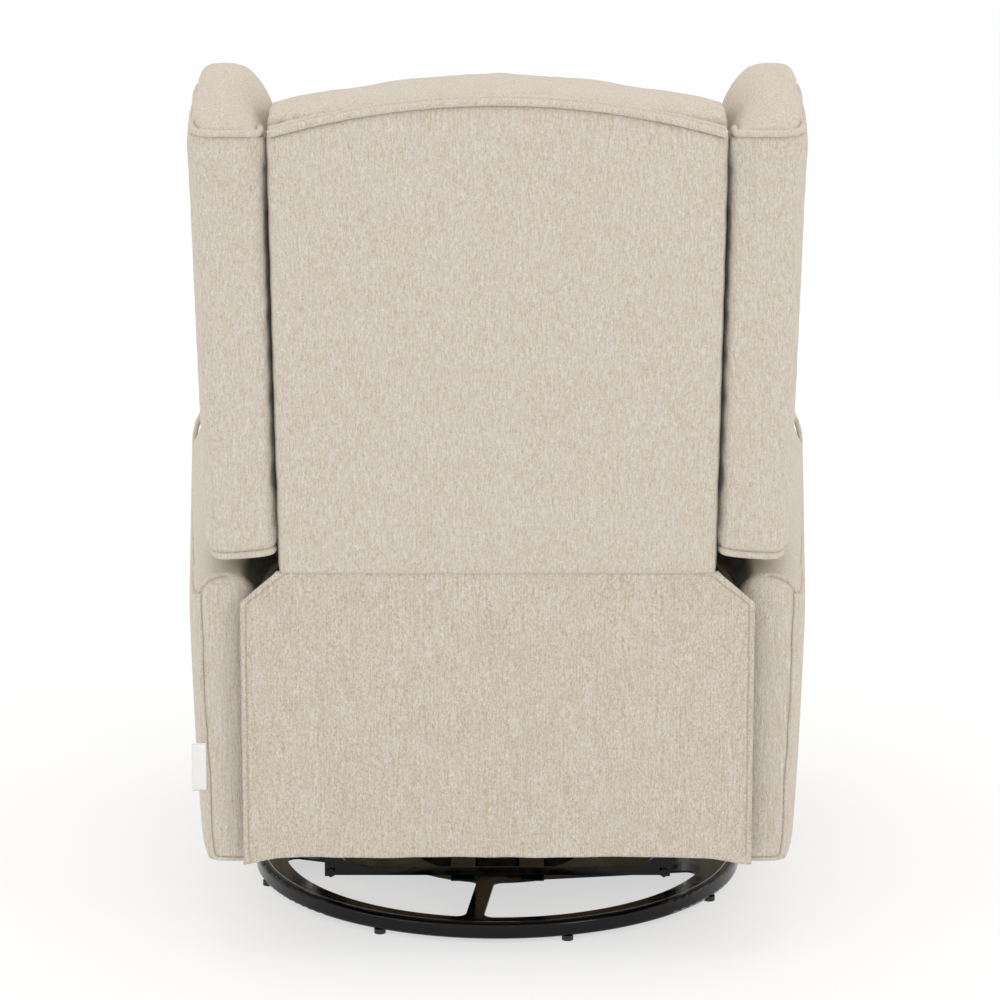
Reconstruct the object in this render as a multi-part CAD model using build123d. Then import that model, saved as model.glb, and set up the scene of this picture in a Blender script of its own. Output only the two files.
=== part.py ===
from build123d import *
import math
import os

# A wingback swivel glider recliner. It stands on the floor at Z 0, with its swivel axis on Z.
# The sitter faces -Y and X points to the sitter's left. Lengths are millimetres, angles are degrees.
# The chair, from the floor up: ring base, swivel bearing, glider frame on four hanging links, and
# the seat with its arms. The backrest and the footrest are hinged to the steel side plates.

# General
overrun = 10.0          # how far a cutting solid runs past what it cuts
running_gap = 0.06      # radial clearance of a pin that turns in its hole
soft_gap = 0.3          # between a soft piece and its neighbour
section_shares = (-1.0, -0.97, -0.9, -0.75, -0.4, 0.0, 0.4, 0.75, 0.9, 0.97, 1.0)
edge_power = 16         # how late and sharply a cushion falls in at its ends
side_power = 6          # the same for the back's sides
crown_power = 2         # a cushion's gentle overall crown

# Ring base
ring_outer_radius = 305.0
ring_width = 14.0
ring_height = 20.0
ring_round = 5.0
ring_turn = -6.0        # the base stands a little turned under the chair
glide_radius = 7.0
glide_height = 6.0
glide_count = 8
spider_thickness = 3.0
spider_drop = 4.0       # from the rim's top down to the spider plate
window_rim = 22.0       # sheet left between the rim and the windows
window_hub_radius = 135.0
window_corner = 12.0
spoke_half_width = 11.0
web_half_at_hub = 130.0
web_half_at_rim = 62.0
hub_step_outer = 110.0
hub_step_inner = 82.0
hub_rise = 11.0

# Swivel bearing
race_radius = 74.0
race_thickness = 3.0
race_gap = 2.0
ball_radius = 3.0
ball_circle_radius = 56.0
ball_count = 20
ball_clearance = 0.05
king_bolt_radius = 6.0
king_head_radius = 10.0
king_head_height = 6.0
race_screw_radius = 3.0
race_screw_circle = 68.0
race_screw_head = 5.0
race_screw_head_height = 2.0

# Glider frame that turns on the bearing
steel_plate = 4.0
swivel_rail_width = 30.0
swivel_rail_height = 16.0
swivel_rail_wall = 2.5
swivel_rail_x = 42.0
post_outer_x = 211.0
post_flange_width = 11.0
post_half_depth = 18.0
post_base_z = 50.0
cross_bar_height = 10.0
gusset_rise = 60.0
gusset_run = 40.0
gusset_bend_share = 0.3
frame_bolt_radius = 3.0
frame_bolt_head = 5.5
frame_bolt_head_height = 3.5

# Glide links
glide_pivot_y = 180.0
glide_pivot_z = 225.0
glide_link_length = 130.0
glide_link_radius = 11.0
glide_post_round = 15.0
plane_spacing = 2.0     # air between steel plates that pass each other
pivot_pin_radius = 4.0
pin_head_radius = 7.0
pin_head_height = 3.0
bush_radius = 6.5

# Seat carriage and side plates
carriage_tube_y = 90.0
carriage_tube_z = 252.0
carriage_tube_radius = 10.0
carriage_tube_wall = 2.0
side_plate_inner_x = 239.0
side_plate_round = 13.0
recline_pivot_y = 300.0
recline_pivot_z = 400.0

# Seat frame
rail_thickness = 18.0
rail_top_z = 312.0
side_rail_height = 44.0
cross_rail_height = 26.0
cross_rail_depth = 40.0
seat_front_y = -445.0
seat_rear_y = 230.0
front_rail_setback = 78.0
rear_rail_y = 262.0
front_band_thickness = 6.0
front_band_half = 221.0   # its deep part passes between the footrest's links
front_band_drop = 24.0    # how far that part hangs below the rail
spring_wire_radius = 2.0
spring_count = 5
spring_span_share = 0.8
spring_waves = 12
spring_half_width = 26.0
spring_lap = 14.0
spring_bend_share = 0.45

# Seat cushion
cushion_half_width = 250.0
cushion_thickness = 112.0
cushion_crown = 14.0
cushion_draw = 9.0
cushion_nose = 26.0

# Arms
arm_inner_x = 262.0
arm_bottom_z = 116.0
arm_seam_z = 452.0
arm_rear_y = 350.0
arm_front_y = -402.0
arm_outer_x_rear = 356.0
arm_outer_x_front = 401.0
arm_foot_x_rear = 343.0
arm_foot_x_front = 397.0
arm_crown_z_rear = 477.0
arm_crown_z_front = 530.0
arm_side_bulge = 6.0
arm_edge_round = 12.0
arm_face_thickness = 12.0
arm_board_x = 288.0
arm_board_top_z = 420.0
arm_board_end_gap = 22.0
arm_bolt_radius = 4.0
arm_shoulder_share = 0.3
arm_face_round_share = 1 / 3

# Backrest, laid out upright in its own frame and then leaned
back_foot_y = 372.0
back_foot_z = 480.0
back_lean = 7.24
back_half_width = 256.0
back_panel_thickness = 22.0
back_panel_round = 8.0
back_side_height = 537.0
back_crown_height = 576.0
post_wood_width = 28.0
post_wood_inner_x = 203.0
post_wood_depth = 50.0
post_wood_foot = -44.0
top_rail_height = 50.0
rail_gap_below_top = 44.0
lower_rail_height = 60.0
webbing_thickness = 4.0
webbing_width = 50.0
webbing_count = 5
back_cushion_front_low = -256.0
back_cushion_front_high = -196.0
back_cushion_bottom_rear = -46.0
back_cushion_bottom_front = -69.0
back_cushion_crown = 16.0
back_cushion_draw = 7.0
lumbar_bulge = 14.0
band_drop = 22.0        # how far the top band falls towards the front
cushion_side_gap = 1.0  # from the cushion's side in from the panel's edge
band_nose_share = 0.2   # how far the band's front corner is rounded off
hinge_arm_reach = 120.0

# Wings
wing_inner_x = 257.5
wing_outer_x_top = 345.0
wing_outer_x_foot = 334.0
wing_rear_height = 539.0
wing_dome_rise = 29.0   # from the rear edge's top up to the dome
wing_dome_setback = 145.0
wing_front_depth = 300.0
wing_foot_rear = 22.0
wing_foot_front = 6.0
wing_foot_depth = 224.0
wing_edge_round = 20.0
wing_board_thickness = 15.0
wing_board_x = 286.0
wing_board_inset = 32.0
wing_bolt_radius = 3.5
wing_bolt_shares = (0.15, 0.5, 0.85)
wing_brow_share = 0.87
wing_cheek_share = 0.64
wing_dome_bow = (0.45, 0.72)
wing_brow_bow = (0.62, 0.3)

# Rear flap
flap_half_width = 300.0
flap_bottom_z = 133.0
flap_shoulder_z = 445.0
flap_top_half_width = 257.0
flap_thickness = 4.0
flap_fold_depth = 3.0
flap_fold_count = 6

# Footrest
footrest_pad_thickness = 50.0
footrest_board_thickness = 15.0
footrest_bottom_z = 132.0
footrest_height = 160.0
footrest_crown = 8.0
board_pivot_setback = 14.0
board_pivot_z = 245.0
drive_pivot_back = 85.0     # from the board's pivot back to the drive shaft
drive_pivot_rise = 23.0
drive_link_back = 85.0      # the drive link hangs this far back and down when closed
drive_link_drop = 160.0
control_offset_y = 41.0
control_offset_z = -16.0
tie_offset_y = -5.5
tie_offset_z = 31.0
footrest_link_round = 8.0
drive_shaft_radius = 8.0
bracket_flange_height = 40.0

# Release lever
lever_pivot_y = -170.0
lever_pivot_rise = 12.0
lever_inner_x = 252.5
lever_thickness = 5.0
lever_round = 9.0
lever_length = 150.0
lever_grip_round = 13.0
lever_bracket_thickness = 2.5

# Blank tag on the arm's rear outer seam
tag_height = 58.0
tag_width = 14.0
tag_thickness = 1.0
tag_top_z = 268.0

os.makedirs("parts", exist_ok=True)


def save(name, shape):
    """Write one piece, or one set of like pieces, to its own file."""
    export_step(shape, f"parts/{name}.step")


def group(solids):
    """Several separate solids that share one file."""
    return Compound(list(solids))


def block(x0, x1, y0, y1, z0, z1):
    """A plain box between two corners."""
    size = Box(abs(x1 - x0), abs(y1 - y0), abs(z1 - z0))
    return Pos((x0 + x1) / 2, (y0 + y1) / 2, (z0 + z1) / 2) * size


def rod(start, end, radius):
    """A round bar from one point to another."""
    along = Vector(*end) - Vector(*start)
    return extrude(Plane(origin=start, z_dir=along) * Circle(radius), along.length)


def bolt(start, end, radius, head_radius, head_height, sides=6):
    """A bolt from start to end, with its head outside start."""
    along = Vector(*end) - Vector(*start)
    seat = Plane(origin=start, z_dir=along)
    head_outline = RegularPolygon(head_radius, sides) if sides else Circle(head_radius)
    return rod(start, end, radius) + extrude(seat * head_outline, -head_height)


def mirrored(solid):
    """The same piece on the other side of the chair."""
    return mirror(solid, Plane.YZ)


def side_outline(outline, x0, x1):
    """A flat outline in Y and Z made solid from x0 to x1."""
    return Pos(x0, 0, 0) * extrude(Plane.YZ * outline, x1 - x0)


def hull_outline(discs):
    """The tight outline round discs given as (y, z, radius)."""
    edges = [edge for y, z, r in discs for edge in (Pos(y, z) * Circle(r)).edges()]
    return make_hull(edges)


def link(discs, x0, x1, holes):
    """A steel link or plate round discs, with round holes given as (y, z, radius)."""
    plate = side_outline(hull_outline(discs), x0, x1)
    for y, z, r in holes:
        plate -= rod((x0 - overrun, y, z), (x1 + overrun, y, z), r)
    return plate


def pin(y, z, x0, x1, radius=pivot_pin_radius):
    """A pivot pin with a flat head outside x0."""
    return bolt((x0, y, z), (x1, y, z), radius, pin_head_radius, pin_head_height, sides=0)


# Ring base
ring_inner_radius = ring_outer_radius - ring_width
window_outer_radius = ring_inner_radius - window_rim
ring_top_z = glide_height + ring_height
spider_top_z = ring_top_z - spider_drop
spider_bottom_z = spider_top_z - spider_thickness
hub_top_z = spider_top_z + hub_rise


def make_ring():
    profile = Pos(ring_inner_radius + ring_width / 2, glide_height + ring_height / 2) * Rectangle(
        ring_width, ring_height
    )
    profile = fillet(profile.vertices(), ring_round)
    return revolve(Plane.XZ * profile, Axis.Z)


def spider_window():
    """One of the four windows, between a narrow spoke and a broad web."""
    far = ring_outer_radius
    corners = [
        (spoke_half_width, web_half_at_hub),
        (spoke_half_width, far),
        (far, far),
        (far, web_half_at_rim),
        (window_outer_radius, web_half_at_rim),
    ]
    window = make_face(Polyline(*corners, close=True))
    window = (window & Circle(window_outer_radius)) - Circle(window_hub_radius)
    return offset(offset(window, -window_corner), window_corner)


def make_spider():
    """The stamped plate welded inside the rim, with its raised hub."""
    sheet = Circle(ring_inner_radius) - Circle(hub_step_outer)
    window = spider_window()
    for across in (False, True):
        half = mirror(window, Plane.YZ) if across else window
        sheet -= half
        sheet -= mirror(half, Plane.XZ)
    plate = Pos(0, 0, spider_bottom_z) * extrude(sheet, spider_thickness)
    hub_profile = make_face(
        Polyline(
            (king_bolt_radius, hub_top_z),
            (hub_step_inner, hub_top_z),
            (hub_step_outer - spider_thickness, spider_top_z),
            (hub_step_outer, spider_top_z),
            (hub_step_outer, spider_bottom_z),
            (hub_step_outer - 2 * spider_thickness, spider_bottom_z),
            (hub_step_inner - spider_thickness, hub_top_z - spider_thickness),
            (king_bolt_radius, hub_top_z - spider_thickness),
            close=True,
        )
    )
    plate += revolve(Plane.XZ * hub_profile, Axis.Z)
    for hole in race_screw_places():
        plate -= rod((*hole, spider_bottom_z), (*hole, hub_top_z + overrun), race_screw_radius)
    return Rot(0, 0, ring_turn) * plate


def race_screw_places():
    return [
        (race_screw_circle * math.cos(turn), race_screw_circle * math.sin(turn))
        for turn in (math.radians(45 + 90 * index) for index in range(4))
    ]


def make_foot_glides():
    mid_radius = ring_inner_radius + ring_width / 2
    first = ring_turn + 180 / glide_count
    glide = Pos(mid_radius, 0, glide_height / 2) * Cylinder(glide_radius, glide_height)
    return group(Rot(0, 0, first + 360 / glide_count * index) * glide for index in range(glide_count))


save("base_ring", make_ring())
save("spider_plate", make_spider())
save("foot_glides", make_foot_glides())

# Swivel bearing
lower_race_z = hub_top_z
ball_z = lower_race_z + race_thickness + race_gap / 2
upper_race_z = lower_race_z + race_thickness + race_gap
upper_race_top_z = upper_race_z + race_thickness


def make_race(z, hole_radius):
    disc = Pos(0, 0, z + race_thickness / 2) * Cylinder(race_radius, race_thickness)
    disc -= rod((0, 0, z - overrun), (0, 0, z + overrun), hole_radius)
    groove = Pos(0, 0, ball_z) * Torus(ball_circle_radius, ball_radius + ball_clearance)
    return disc - groove


def make_lower_race():
    race = make_race(lower_race_z, king_bolt_radius)
    for x, y in race_screw_places():
        race -= rod((x, y, lower_race_z - overrun), (x, y, lower_race_z + overrun), race_screw_radius)
    return Rot(0, 0, ring_turn) * race


def make_race_screws():
    screws = []
    for x, y in race_screw_places():
        start = (x, y, hub_top_z - spider_thickness)
        end = (x, y, lower_race_z + race_thickness)
        screws.append(bolt(start, end, race_screw_radius, race_screw_head, race_screw_head_height))
    return Rot(0, 0, ring_turn) * group(screws)


def make_balls():
    ball = Pos(ball_circle_radius, 0, ball_z) * Sphere(ball_radius)
    return group(Rot(0, 0, 360 / ball_count * index) * ball for index in range(ball_count))


def make_king_bolt():
    start = (0, 0, hub_top_z - spider_thickness)
    end_z = upper_race_top_z + soft_gap + king_head_height
    stem = bolt(start, (0, 0, end_z), king_bolt_radius, king_head_radius, king_head_height)
    nut_outline = Pos(0, 0, upper_race_top_z + soft_gap) * RegularPolygon(king_head_radius, 6)
    return stem + extrude(nut_outline, king_head_height)


save("lower_race", make_lower_race())
save("race_screws", make_race_screws())
save("bearing_balls", make_balls())
save("king_bolt", make_king_bolt())
save("upper_race", make_race(upper_race_z, king_bolt_radius + running_gap))

# Glider frame that turns on the bearing
post_inner_x = post_outer_x - steel_plate
flange_inner_x = post_outer_x - post_flange_width
frame_rear_y = glide_pivot_y + post_half_depth
swivel_rail_top_z = upper_race_top_z + swivel_rail_height
bar_top_z = post_base_z + cross_bar_height


def make_swivel_rails():
    """Two box rails on the upper race that carry both cross bars."""
    half = frame_rear_y - 2 * steel_plate
    rails = []
    for side in (-1, 1):
        x0 = side * swivel_rail_x - swivel_rail_width / 2
        x1 = side * swivel_rail_x + swivel_rail_width / 2
        outer = block(x0, x1, -half, half, upper_race_top_z, swivel_rail_top_z)
        inner = block(
            x0 + swivel_rail_wall,
            x1 - swivel_rail_wall,
            -half - overrun,
            half + overrun,
            upper_race_top_z + swivel_rail_wall,
            swivel_rail_top_z - swivel_rail_wall,
        )
        rails.append(outer - inner)
    return group(rails)


def make_cross_bar():
    """The pressed bar across the rear, between the posts."""
    rear = frame_rear_y - steel_plate
    return block(-post_inner_x, post_inner_x, rear - steel_plate, rear, post_base_z, bar_top_z)


def make_gusset():
    """The curved end of the cross bar where it turns up into a post."""
    rear = frame_rear_y - steel_plate
    top = bar_top_z + gusset_rise
    inside = post_inner_x - gusset_run
    outline = make_face(
        [
            Line((post_inner_x, bar_top_z), (post_inner_x, top)),
            Line((post_inner_x, top), (post_inner_x - steel_plate, top)),
            ThreePointArc(
                (post_inner_x - steel_plate, top),
                (
                    post_inner_x - gusset_run * gusset_bend_share,
                    bar_top_z + gusset_rise * gusset_bend_share,
                ),
                (inside, bar_top_z),
            ),
            Line((inside, bar_top_z), (post_inner_x, bar_top_z)),
        ]
    )
    return Pos(0, rear, 0) * extrude(Plane.XZ * outline, steel_plate)


def make_glide_rail():
    """The flat bar that joins a front and a rear post."""
    inner_reach = glide_pivot_y - post_half_depth
    top = bar_top_z + cross_bar_height
    return block(post_inner_x, post_outer_x, -inner_reach, inner_reach, post_base_z, top)


def make_post():
    """A flanged steel post with the upper glide pivot in its top."""
    plate = link(
        [
            (glide_pivot_y, glide_pivot_z, glide_post_round),
            (glide_pivot_y - post_half_depth + steel_plate, post_base_z + steel_plate, steel_plate),
            (glide_pivot_y + post_half_depth - steel_plate, post_base_z + steel_plate, steel_plate),
        ],
        post_inner_x,
        post_outer_x,
        [(glide_pivot_y, glide_pivot_z, pivot_pin_radius)],
    )
    flange_top = glide_pivot_z - 2 * glide_post_round
    flange = block(
        flange_inner_x, post_inner_x, frame_rear_y - steel_plate, frame_rear_y, post_base_z, flange_top
    )
    corner = block(
        post_inner_x, post_outer_x, frame_rear_y - steel_plate, frame_rear_y, post_base_z, flange_top
    )
    return plate + flange + corner


def fore_and_aft(solid):
    """A piece at the rear and its mirror image at the front."""
    return [solid, mirror(solid, Plane.XZ)]


def four_corners(solid):
    return [piece for side in (solid, mirrored(solid)) for piece in fore_and_aft(side)]


def make_frame_bolts():
    """Small bolts through the posts' flanges into the gussets."""
    x = (flange_inner_x + post_inner_x) / 2
    z = post_base_z + cross_bar_height / 2
    start = (x, frame_rear_y, z)
    end = (x, frame_rear_y - 2 * steel_plate, z)
    frame_bolt = bolt(start, end, frame_bolt_radius, frame_bolt_head, frame_bolt_head_height)
    return group(four_corners(frame_bolt))


frame_bolts = make_frame_bolts()
rear_bar = make_cross_bar() - frame_bolts
posts = [post - frame_bolts for post in four_corners(make_post())]
save("swivel_rails", make_swivel_rails())
save("cross_bars", group(fore_and_aft(rear_bar)))
save("cross_gussets", group(four_corners(make_gusset())))
save("glide_posts", group(posts))
save("glide_rails", group([make_glide_rail(), mirrored(make_glide_rail())]))
save("frame_bolts", frame_bolts)

# Glide links, which hang the seat from the posts
link_inner_x = post_outer_x + plane_spacing
link_outer_x = link_inner_x + steel_plate
hanger_inner_x = link_outer_x + plane_spacing
hanger_outer_x = hanger_inner_x + steel_plate
lower_pivot_z = glide_pivot_z - glide_link_length


def make_glide_link(y):
    ends = [(y, glide_pivot_z), (y, lower_pivot_z)]
    return link(
        [(*end, glide_link_radius) for end in ends],
        link_inner_x,
        link_outer_x,
        [(*end, bush_radius) for end in ends],
    )


def make_bushes(y):
    """Plastic bushes pressed into the link's eyes."""
    bushes = []
    for z in (glide_pivot_z, lower_pivot_z):
        sleeve = rod((link_inner_x, y, z), (link_outer_x, y, z), bush_radius)
        bore_start = (link_inner_x - overrun, y, z)
        bore_end = (link_outer_x + overrun, y, z)
        bushes.append(sleeve - rod(bore_start, bore_end, pivot_pin_radius + running_gap))
    return bushes


def both(solids):
    solids = list(solids)
    return group(solids + [mirrored(solid) for solid in solids])


for end_name, end_y in (("rear", glide_pivot_y), ("front", -glide_pivot_y)):
    save(f"glide_links_{end_name}", both([make_glide_link(end_y)]))
    save(f"glide_bushes_{end_name}", both(make_bushes(end_y)))

upper_pin = [pin(y, glide_pivot_z, post_inner_x, link_outer_x) for y in (glide_pivot_y, -glide_pivot_y)]
save("upper_glide_pins", both(upper_pin))

# Seat carriage
side_plate_outer_x = side_plate_inner_x + steel_plate


def make_hanger(y):
    """A plate from a lower glide pivot up to a cross tube."""
    tube_y = math.copysign(carriage_tube_y, y)
    return link(
        [(y, lower_pivot_z, side_plate_round), (tube_y, carriage_tube_z, side_plate_round + steel_plate)],
        hanger_inner_x,
        hanger_outer_x,
        [(y, lower_pivot_z, pivot_pin_radius), (tube_y, carriage_tube_z, carriage_tube_radius)],
    )


def make_lower_pin(y):
    """The lower pin is held by the hanger and turns in the link's bush."""
    start = (hanger_outer_x, y, lower_pivot_z)
    end = (link_inner_x, y, lower_pivot_z)
    return bolt(start, end, pivot_pin_radius, pin_head_radius, pin_head_height, sides=0)


def make_carriage_tube(y):
    ends = [(-side_plate_inner_x, y, carriage_tube_z), (side_plate_inner_x, y, carriage_tube_z)]
    tube = rod(*ends, carriage_tube_radius)
    bore = rod(
        (-side_plate_inner_x - overrun, y, carriage_tube_z),
        (side_plate_inner_x + overrun, y, carriage_tube_z),
        carriage_tube_radius - carriage_tube_wall,
    )
    return tube - bore


pivot_ys = (glide_pivot_y, -glide_pivot_y)
save("carriage_hangers", both([make_hanger(y) for y in pivot_ys]))
save("carriage_tubes", group([make_carriage_tube(y) for y in (carriage_tube_y, -carriage_tube_y)]))
save("lower_glide_pins", both([make_lower_pin(y) for y in pivot_ys]))

# Footrest linkage places, all in the closed state
board_rear_y = seat_front_y + footrest_pad_thickness + footrest_board_thickness
board_pivot = (board_rear_y + board_pivot_setback, board_pivot_z)
drive_pivot = (board_pivot[0] + drive_pivot_back, board_pivot[1] + drive_pivot_rise)
elbow = (drive_pivot[0] + drive_link_back, drive_pivot[1] - drive_link_drop)
control_pivot = (drive_pivot[0] + control_offset_y, drive_pivot[1] + control_offset_z)
control_elbow = (elbow[0] + control_offset_y, elbow[1] + control_offset_z)
tie_elbow = (elbow[0] + tie_offset_y, elbow[1] + tie_offset_z)
tie_board = (board_pivot[0] + tie_offset_y, board_pivot[1] + tie_offset_z)
inner_plane_x = hanger_outer_x + pin_head_height + plane_spacing / 2
inner_plane_top = inner_plane_x + steel_plate
outer_plane_x = inner_plane_top + plane_spacing / 2
outer_plane_top = outer_plane_x + steel_plate

# Side plates, which carry the drive shaft and the recline pin
side_rail_bottom_z = rail_top_z - side_rail_height
recline_pivot = (recline_pivot_y, recline_pivot_z)
plate_foot = (recline_pivot_y, side_rail_bottom_z + side_plate_round)


def make_side_plate():
    tube_low = [(side * carriage_tube_y, carriage_tube_z, side_plate_round) for side in (-1, 1)]
    corners = (drive_pivot, control_pivot, plate_foot)
    lower = hull_outline([(*corner, side_plate_round) for corner in corners] + tube_low)
    upper = hull_outline([(*plate_foot, side_plate_round), (*recline_pivot, side_plate_round)])
    plate = side_outline(lower + upper, side_plate_inner_x, side_plate_outer_x)
    for y, z, r in (
        (*drive_pivot, drive_shaft_radius + running_gap),
        (*control_pivot, pivot_pin_radius),
        (*recline_pivot, pivot_pin_radius),
    ):
        plate -= rod((side_plate_inner_x - overrun, y, z), (side_plate_outer_x + overrun, y, z), r)
    return plate


# Seat frame of wooden rails with wave springs
front_rail_y = seat_front_y + front_rail_setback
side_rail_x = side_plate_outer_x
side_rail_outer_x = side_rail_x + rail_thickness
side_rail_front_y = front_rail_y
side_rail_rear_y = rear_rail_y + rail_thickness


def make_side_rail():
    return block(
        side_rail_x, side_rail_outer_x, side_rail_front_y, side_rail_rear_y, side_rail_bottom_z, rail_top_z
    )


def make_cross_rail(y0, depth):
    return block(
        -side_plate_inner_x, side_plate_inner_x, y0, y0 + depth, rail_top_z - cross_rail_height, rail_top_z
    )


def make_front_band():
    """The cloth-covered band on the front rail: a strip, with deeper parts between and outside the links."""
    front_y = front_rail_y - front_band_thickness
    strip_foot = rail_top_z - cross_rail_height
    middle_foot = strip_foot - front_band_drop
    strip = block(-side_rail_outer_x, side_rail_outer_x, front_y, front_rail_y, strip_foot, rail_top_z)
    middle = block(-front_band_half, front_band_half, front_y, front_rail_y, middle_foot, strip_foot)
    end = block(side_rail_x, side_rail_outer_x, front_y, front_rail_y, side_rail_bottom_z, strip_foot)
    return group([strip, middle, end, mirrored(end)])


def make_spring():
    """One wave spring of bent wire, from the front rail to the rear rail."""
    start_y = front_rail_y + cross_rail_depth - spring_lap
    end_y = rear_rail_y + spring_lap
    pitch = (end_y - start_y) / (2 * spring_waves + 1)
    points = [(0, start_y)]
    side = 1
    for index in range(2 * spring_waves):
        y = start_y + pitch * (index + 1)
        reach = side * spring_half_width / 2
        points += [(reach, y - pitch / 2), (reach, y + pitch / 2)]
        side = -side
    points.append((0, end_y))
    path = FilletPolyline(*points, radius=pitch * spring_bend_share)
    wire = trace(path, 2 * spring_wire_radius)
    return Pos(0, 0, rail_top_z) * extrude(wire, 2 * spring_wire_radius)


def make_springs():
    spring = make_spring()
    step = 2 * side_plate_inner_x * spring_span_share / (spring_count - 1)
    first = -step * (spring_count - 1) / 2
    return group(Pos(first + step * index, 0, 0) * spring for index in range(spring_count))


# Soft pieces are lofted through four-sided sections with bowed sides
def pillow_face(plane, x0, x1, z0, z1, side_draw, top_crown, bottom_crown=0.0):
    """A four-sided outline whose top is crowned and whose sides are drawn in at the corners."""
    mid_x = (x0 + x1) / 2
    mid_z = (z0 + z1) / 2
    left = (x0 + side_draw, z0)
    left_top = (x0 + side_draw, z1 - top_crown)
    right_top = (x1 - side_draw, z1 - top_crown)
    right = (x1 - side_draw, z0)
    if bottom_crown:
        bottom = ThreePointArc(right, (mid_x, z0 - bottom_crown), left)
    else:
        bottom = Line(right, left)
    return plane * make_face(
        [
            ThreePointArc(left, (x0, mid_z), left_top),
            ThreePointArc(left_top, (mid_x, z1), right_top),
            ThreePointArc(right_top, (x1, mid_z), right),
            bottom,
        ]
    )


def cross_plane(y):
    """An upright plane across the chair, seen from the front."""
    return Plane(origin=(0, y, 0), x_dir=(1, 0, 0), z_dir=(0, -1, 0))


cushion_bottom_z = rail_top_z + 2 * spring_wire_radius + soft_gap
cushion_top_z = cushion_bottom_z + cushion_thickness + cushion_crown


def swell(share, power):
    """How far a soft edge has fallen in, from 0 at the middle to 1 at the edge."""
    return abs(share) ** power


def make_seat_cushion():
    middle_y = (seat_front_y + seat_rear_y) / 2
    half_length = (seat_rear_y - seat_front_y) / 2
    faces = []
    for share in section_shares:
        fall = swell(share, edge_power)
        faces.append(
            pillow_face(
                cross_plane(middle_y + half_length * share),
                -cushion_half_width + cushion_draw * fall,
                cushion_half_width - cushion_draw * fall,
                cushion_bottom_z + cushion_nose * fall / 2,
                cushion_top_z - cushion_nose * fall - cushion_crown * swell(share, crown_power) / 2,
                cushion_draw,
                cushion_crown,
            )
        )
    return loft(faces, ruled=True)


# Arms
def arm_face(y, outer_x, foot_x, crown_z, inset):
    """The arm's outline across the chair: straight inside, domed top, crowned outer panel."""
    inner = arm_inner_x + inset
    outer = outer_x - inset
    foot = foot_x - inset
    bottom = arm_bottom_z + inset
    top = crown_z - inset
    crown_x = inner + (outer - inner) / 2
    run = crown_x - inner
    rise = top - arm_seam_z
    inner_mid = (inner + run * arm_shoulder_share, arm_seam_z + rise * (1 - arm_shoulder_share))
    outer_mid = (outer - run * arm_shoulder_share, arm_seam_z + rise * (1 - arm_shoulder_share))
    side_mid = ((outer + foot) / 2 + arm_side_bulge, (arm_seam_z + bottom) / 2)
    return cross_plane(y) * make_face(
        [
            Line((inner, bottom), (inner, arm_seam_z)),
            ThreePointArc((inner, arm_seam_z), inner_mid, (crown_x, top)),
            ThreePointArc((crown_x, top), outer_mid, (outer, arm_seam_z)),
            ThreePointArc((outer, arm_seam_z), side_mid, (foot, bottom)),
            Line((foot, bottom), (inner, bottom)),
        ]
    )


def arm_station(y, inset):
    """The arm's outline at one place along its length."""
    share = (y - arm_front_y) / (arm_rear_y - arm_front_y)
    return arm_face(
        y,
        arm_outer_x_front + (arm_outer_x_rear - arm_outer_x_front) * share,
        arm_foot_x_front + (arm_foot_x_rear - arm_foot_x_front) * share,
        arm_crown_z_front + (arm_crown_z_rear - arm_crown_z_front) * share,
        inset,
    )


arm_board_front_y = arm_front_y + arm_face_thickness + arm_board_end_gap
arm_board_rear_y = arm_rear_y - arm_board_end_gap
arm_board_outer_x = arm_board_x + rail_thickness
arm_bolt_z = (side_rail_bottom_z + rail_top_z) / 2
arm_bolt_ys = [
    side_rail_front_y + cross_rail_depth,
    carriage_tube_y / 2,
    side_rail_rear_y - cross_rail_depth,
]


def make_arm_board():
    return block(
        arm_board_x, arm_board_outer_x, arm_board_front_y, arm_board_rear_y, arm_bottom_z, arm_board_top_z
    )


def make_arm_bolts():
    """Flush bolts from the seat's side rail into the arm's board."""
    return [
        rod((side_rail_x, y, arm_bolt_z), (arm_board_outer_x, y, arm_bolt_z), arm_bolt_radius)
        for y in arm_bolt_ys
    ]


def make_arm_pad():
    body_front = arm_front_y + arm_face_thickness
    return loft(
        [
            arm_station(body_front, 0.0),
            arm_station(arm_rear_y - arm_edge_round, 0.0),
            arm_station(arm_rear_y, arm_edge_round / 2),
        ],
        ruled=True,
    )


def make_arm_face_panel():
    """The padded panel that closes the arm's front."""
    body_front = arm_front_y + arm_face_thickness
    return loft(
        [
            arm_station(arm_front_y, arm_edge_round),
            arm_station(
                arm_front_y + arm_face_thickness * arm_face_round_share,
                arm_edge_round * arm_face_round_share,
            ),
            arm_station(body_front, 0.0),
        ],
        ruled=True,
    )


arm_bolts = make_arm_bolts()
side_rail = make_side_rail() - arm_bolts
arm_board = make_arm_board() - arm_bolts
arm_pad = make_arm_pad() - make_arm_board() - arm_bolts

lever_pivot = (lever_pivot_y, rail_top_z + lever_pivot_rise)
for name, piece in (("arm_pad", arm_pad), ("arm_face", make_arm_face_panel())):
    save(f"{name}_left", piece)
    save(f"{name}_right", mirrored(piece))
save("side_plates", both([make_side_plate()]))
save("side_rails", both([side_rail]))
save("arm_boards", both([arm_board]))
save("arm_bolts", both(arm_bolts))
save(
    "seat_cross_rails",
    group([make_cross_rail(front_rail_y, cross_rail_depth), make_cross_rail(rear_rail_y, rail_thickness)]),
)
save("seat_springs", make_springs())
save("front_band", make_front_band())
save("seat_cushion", make_seat_cushion())

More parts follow.
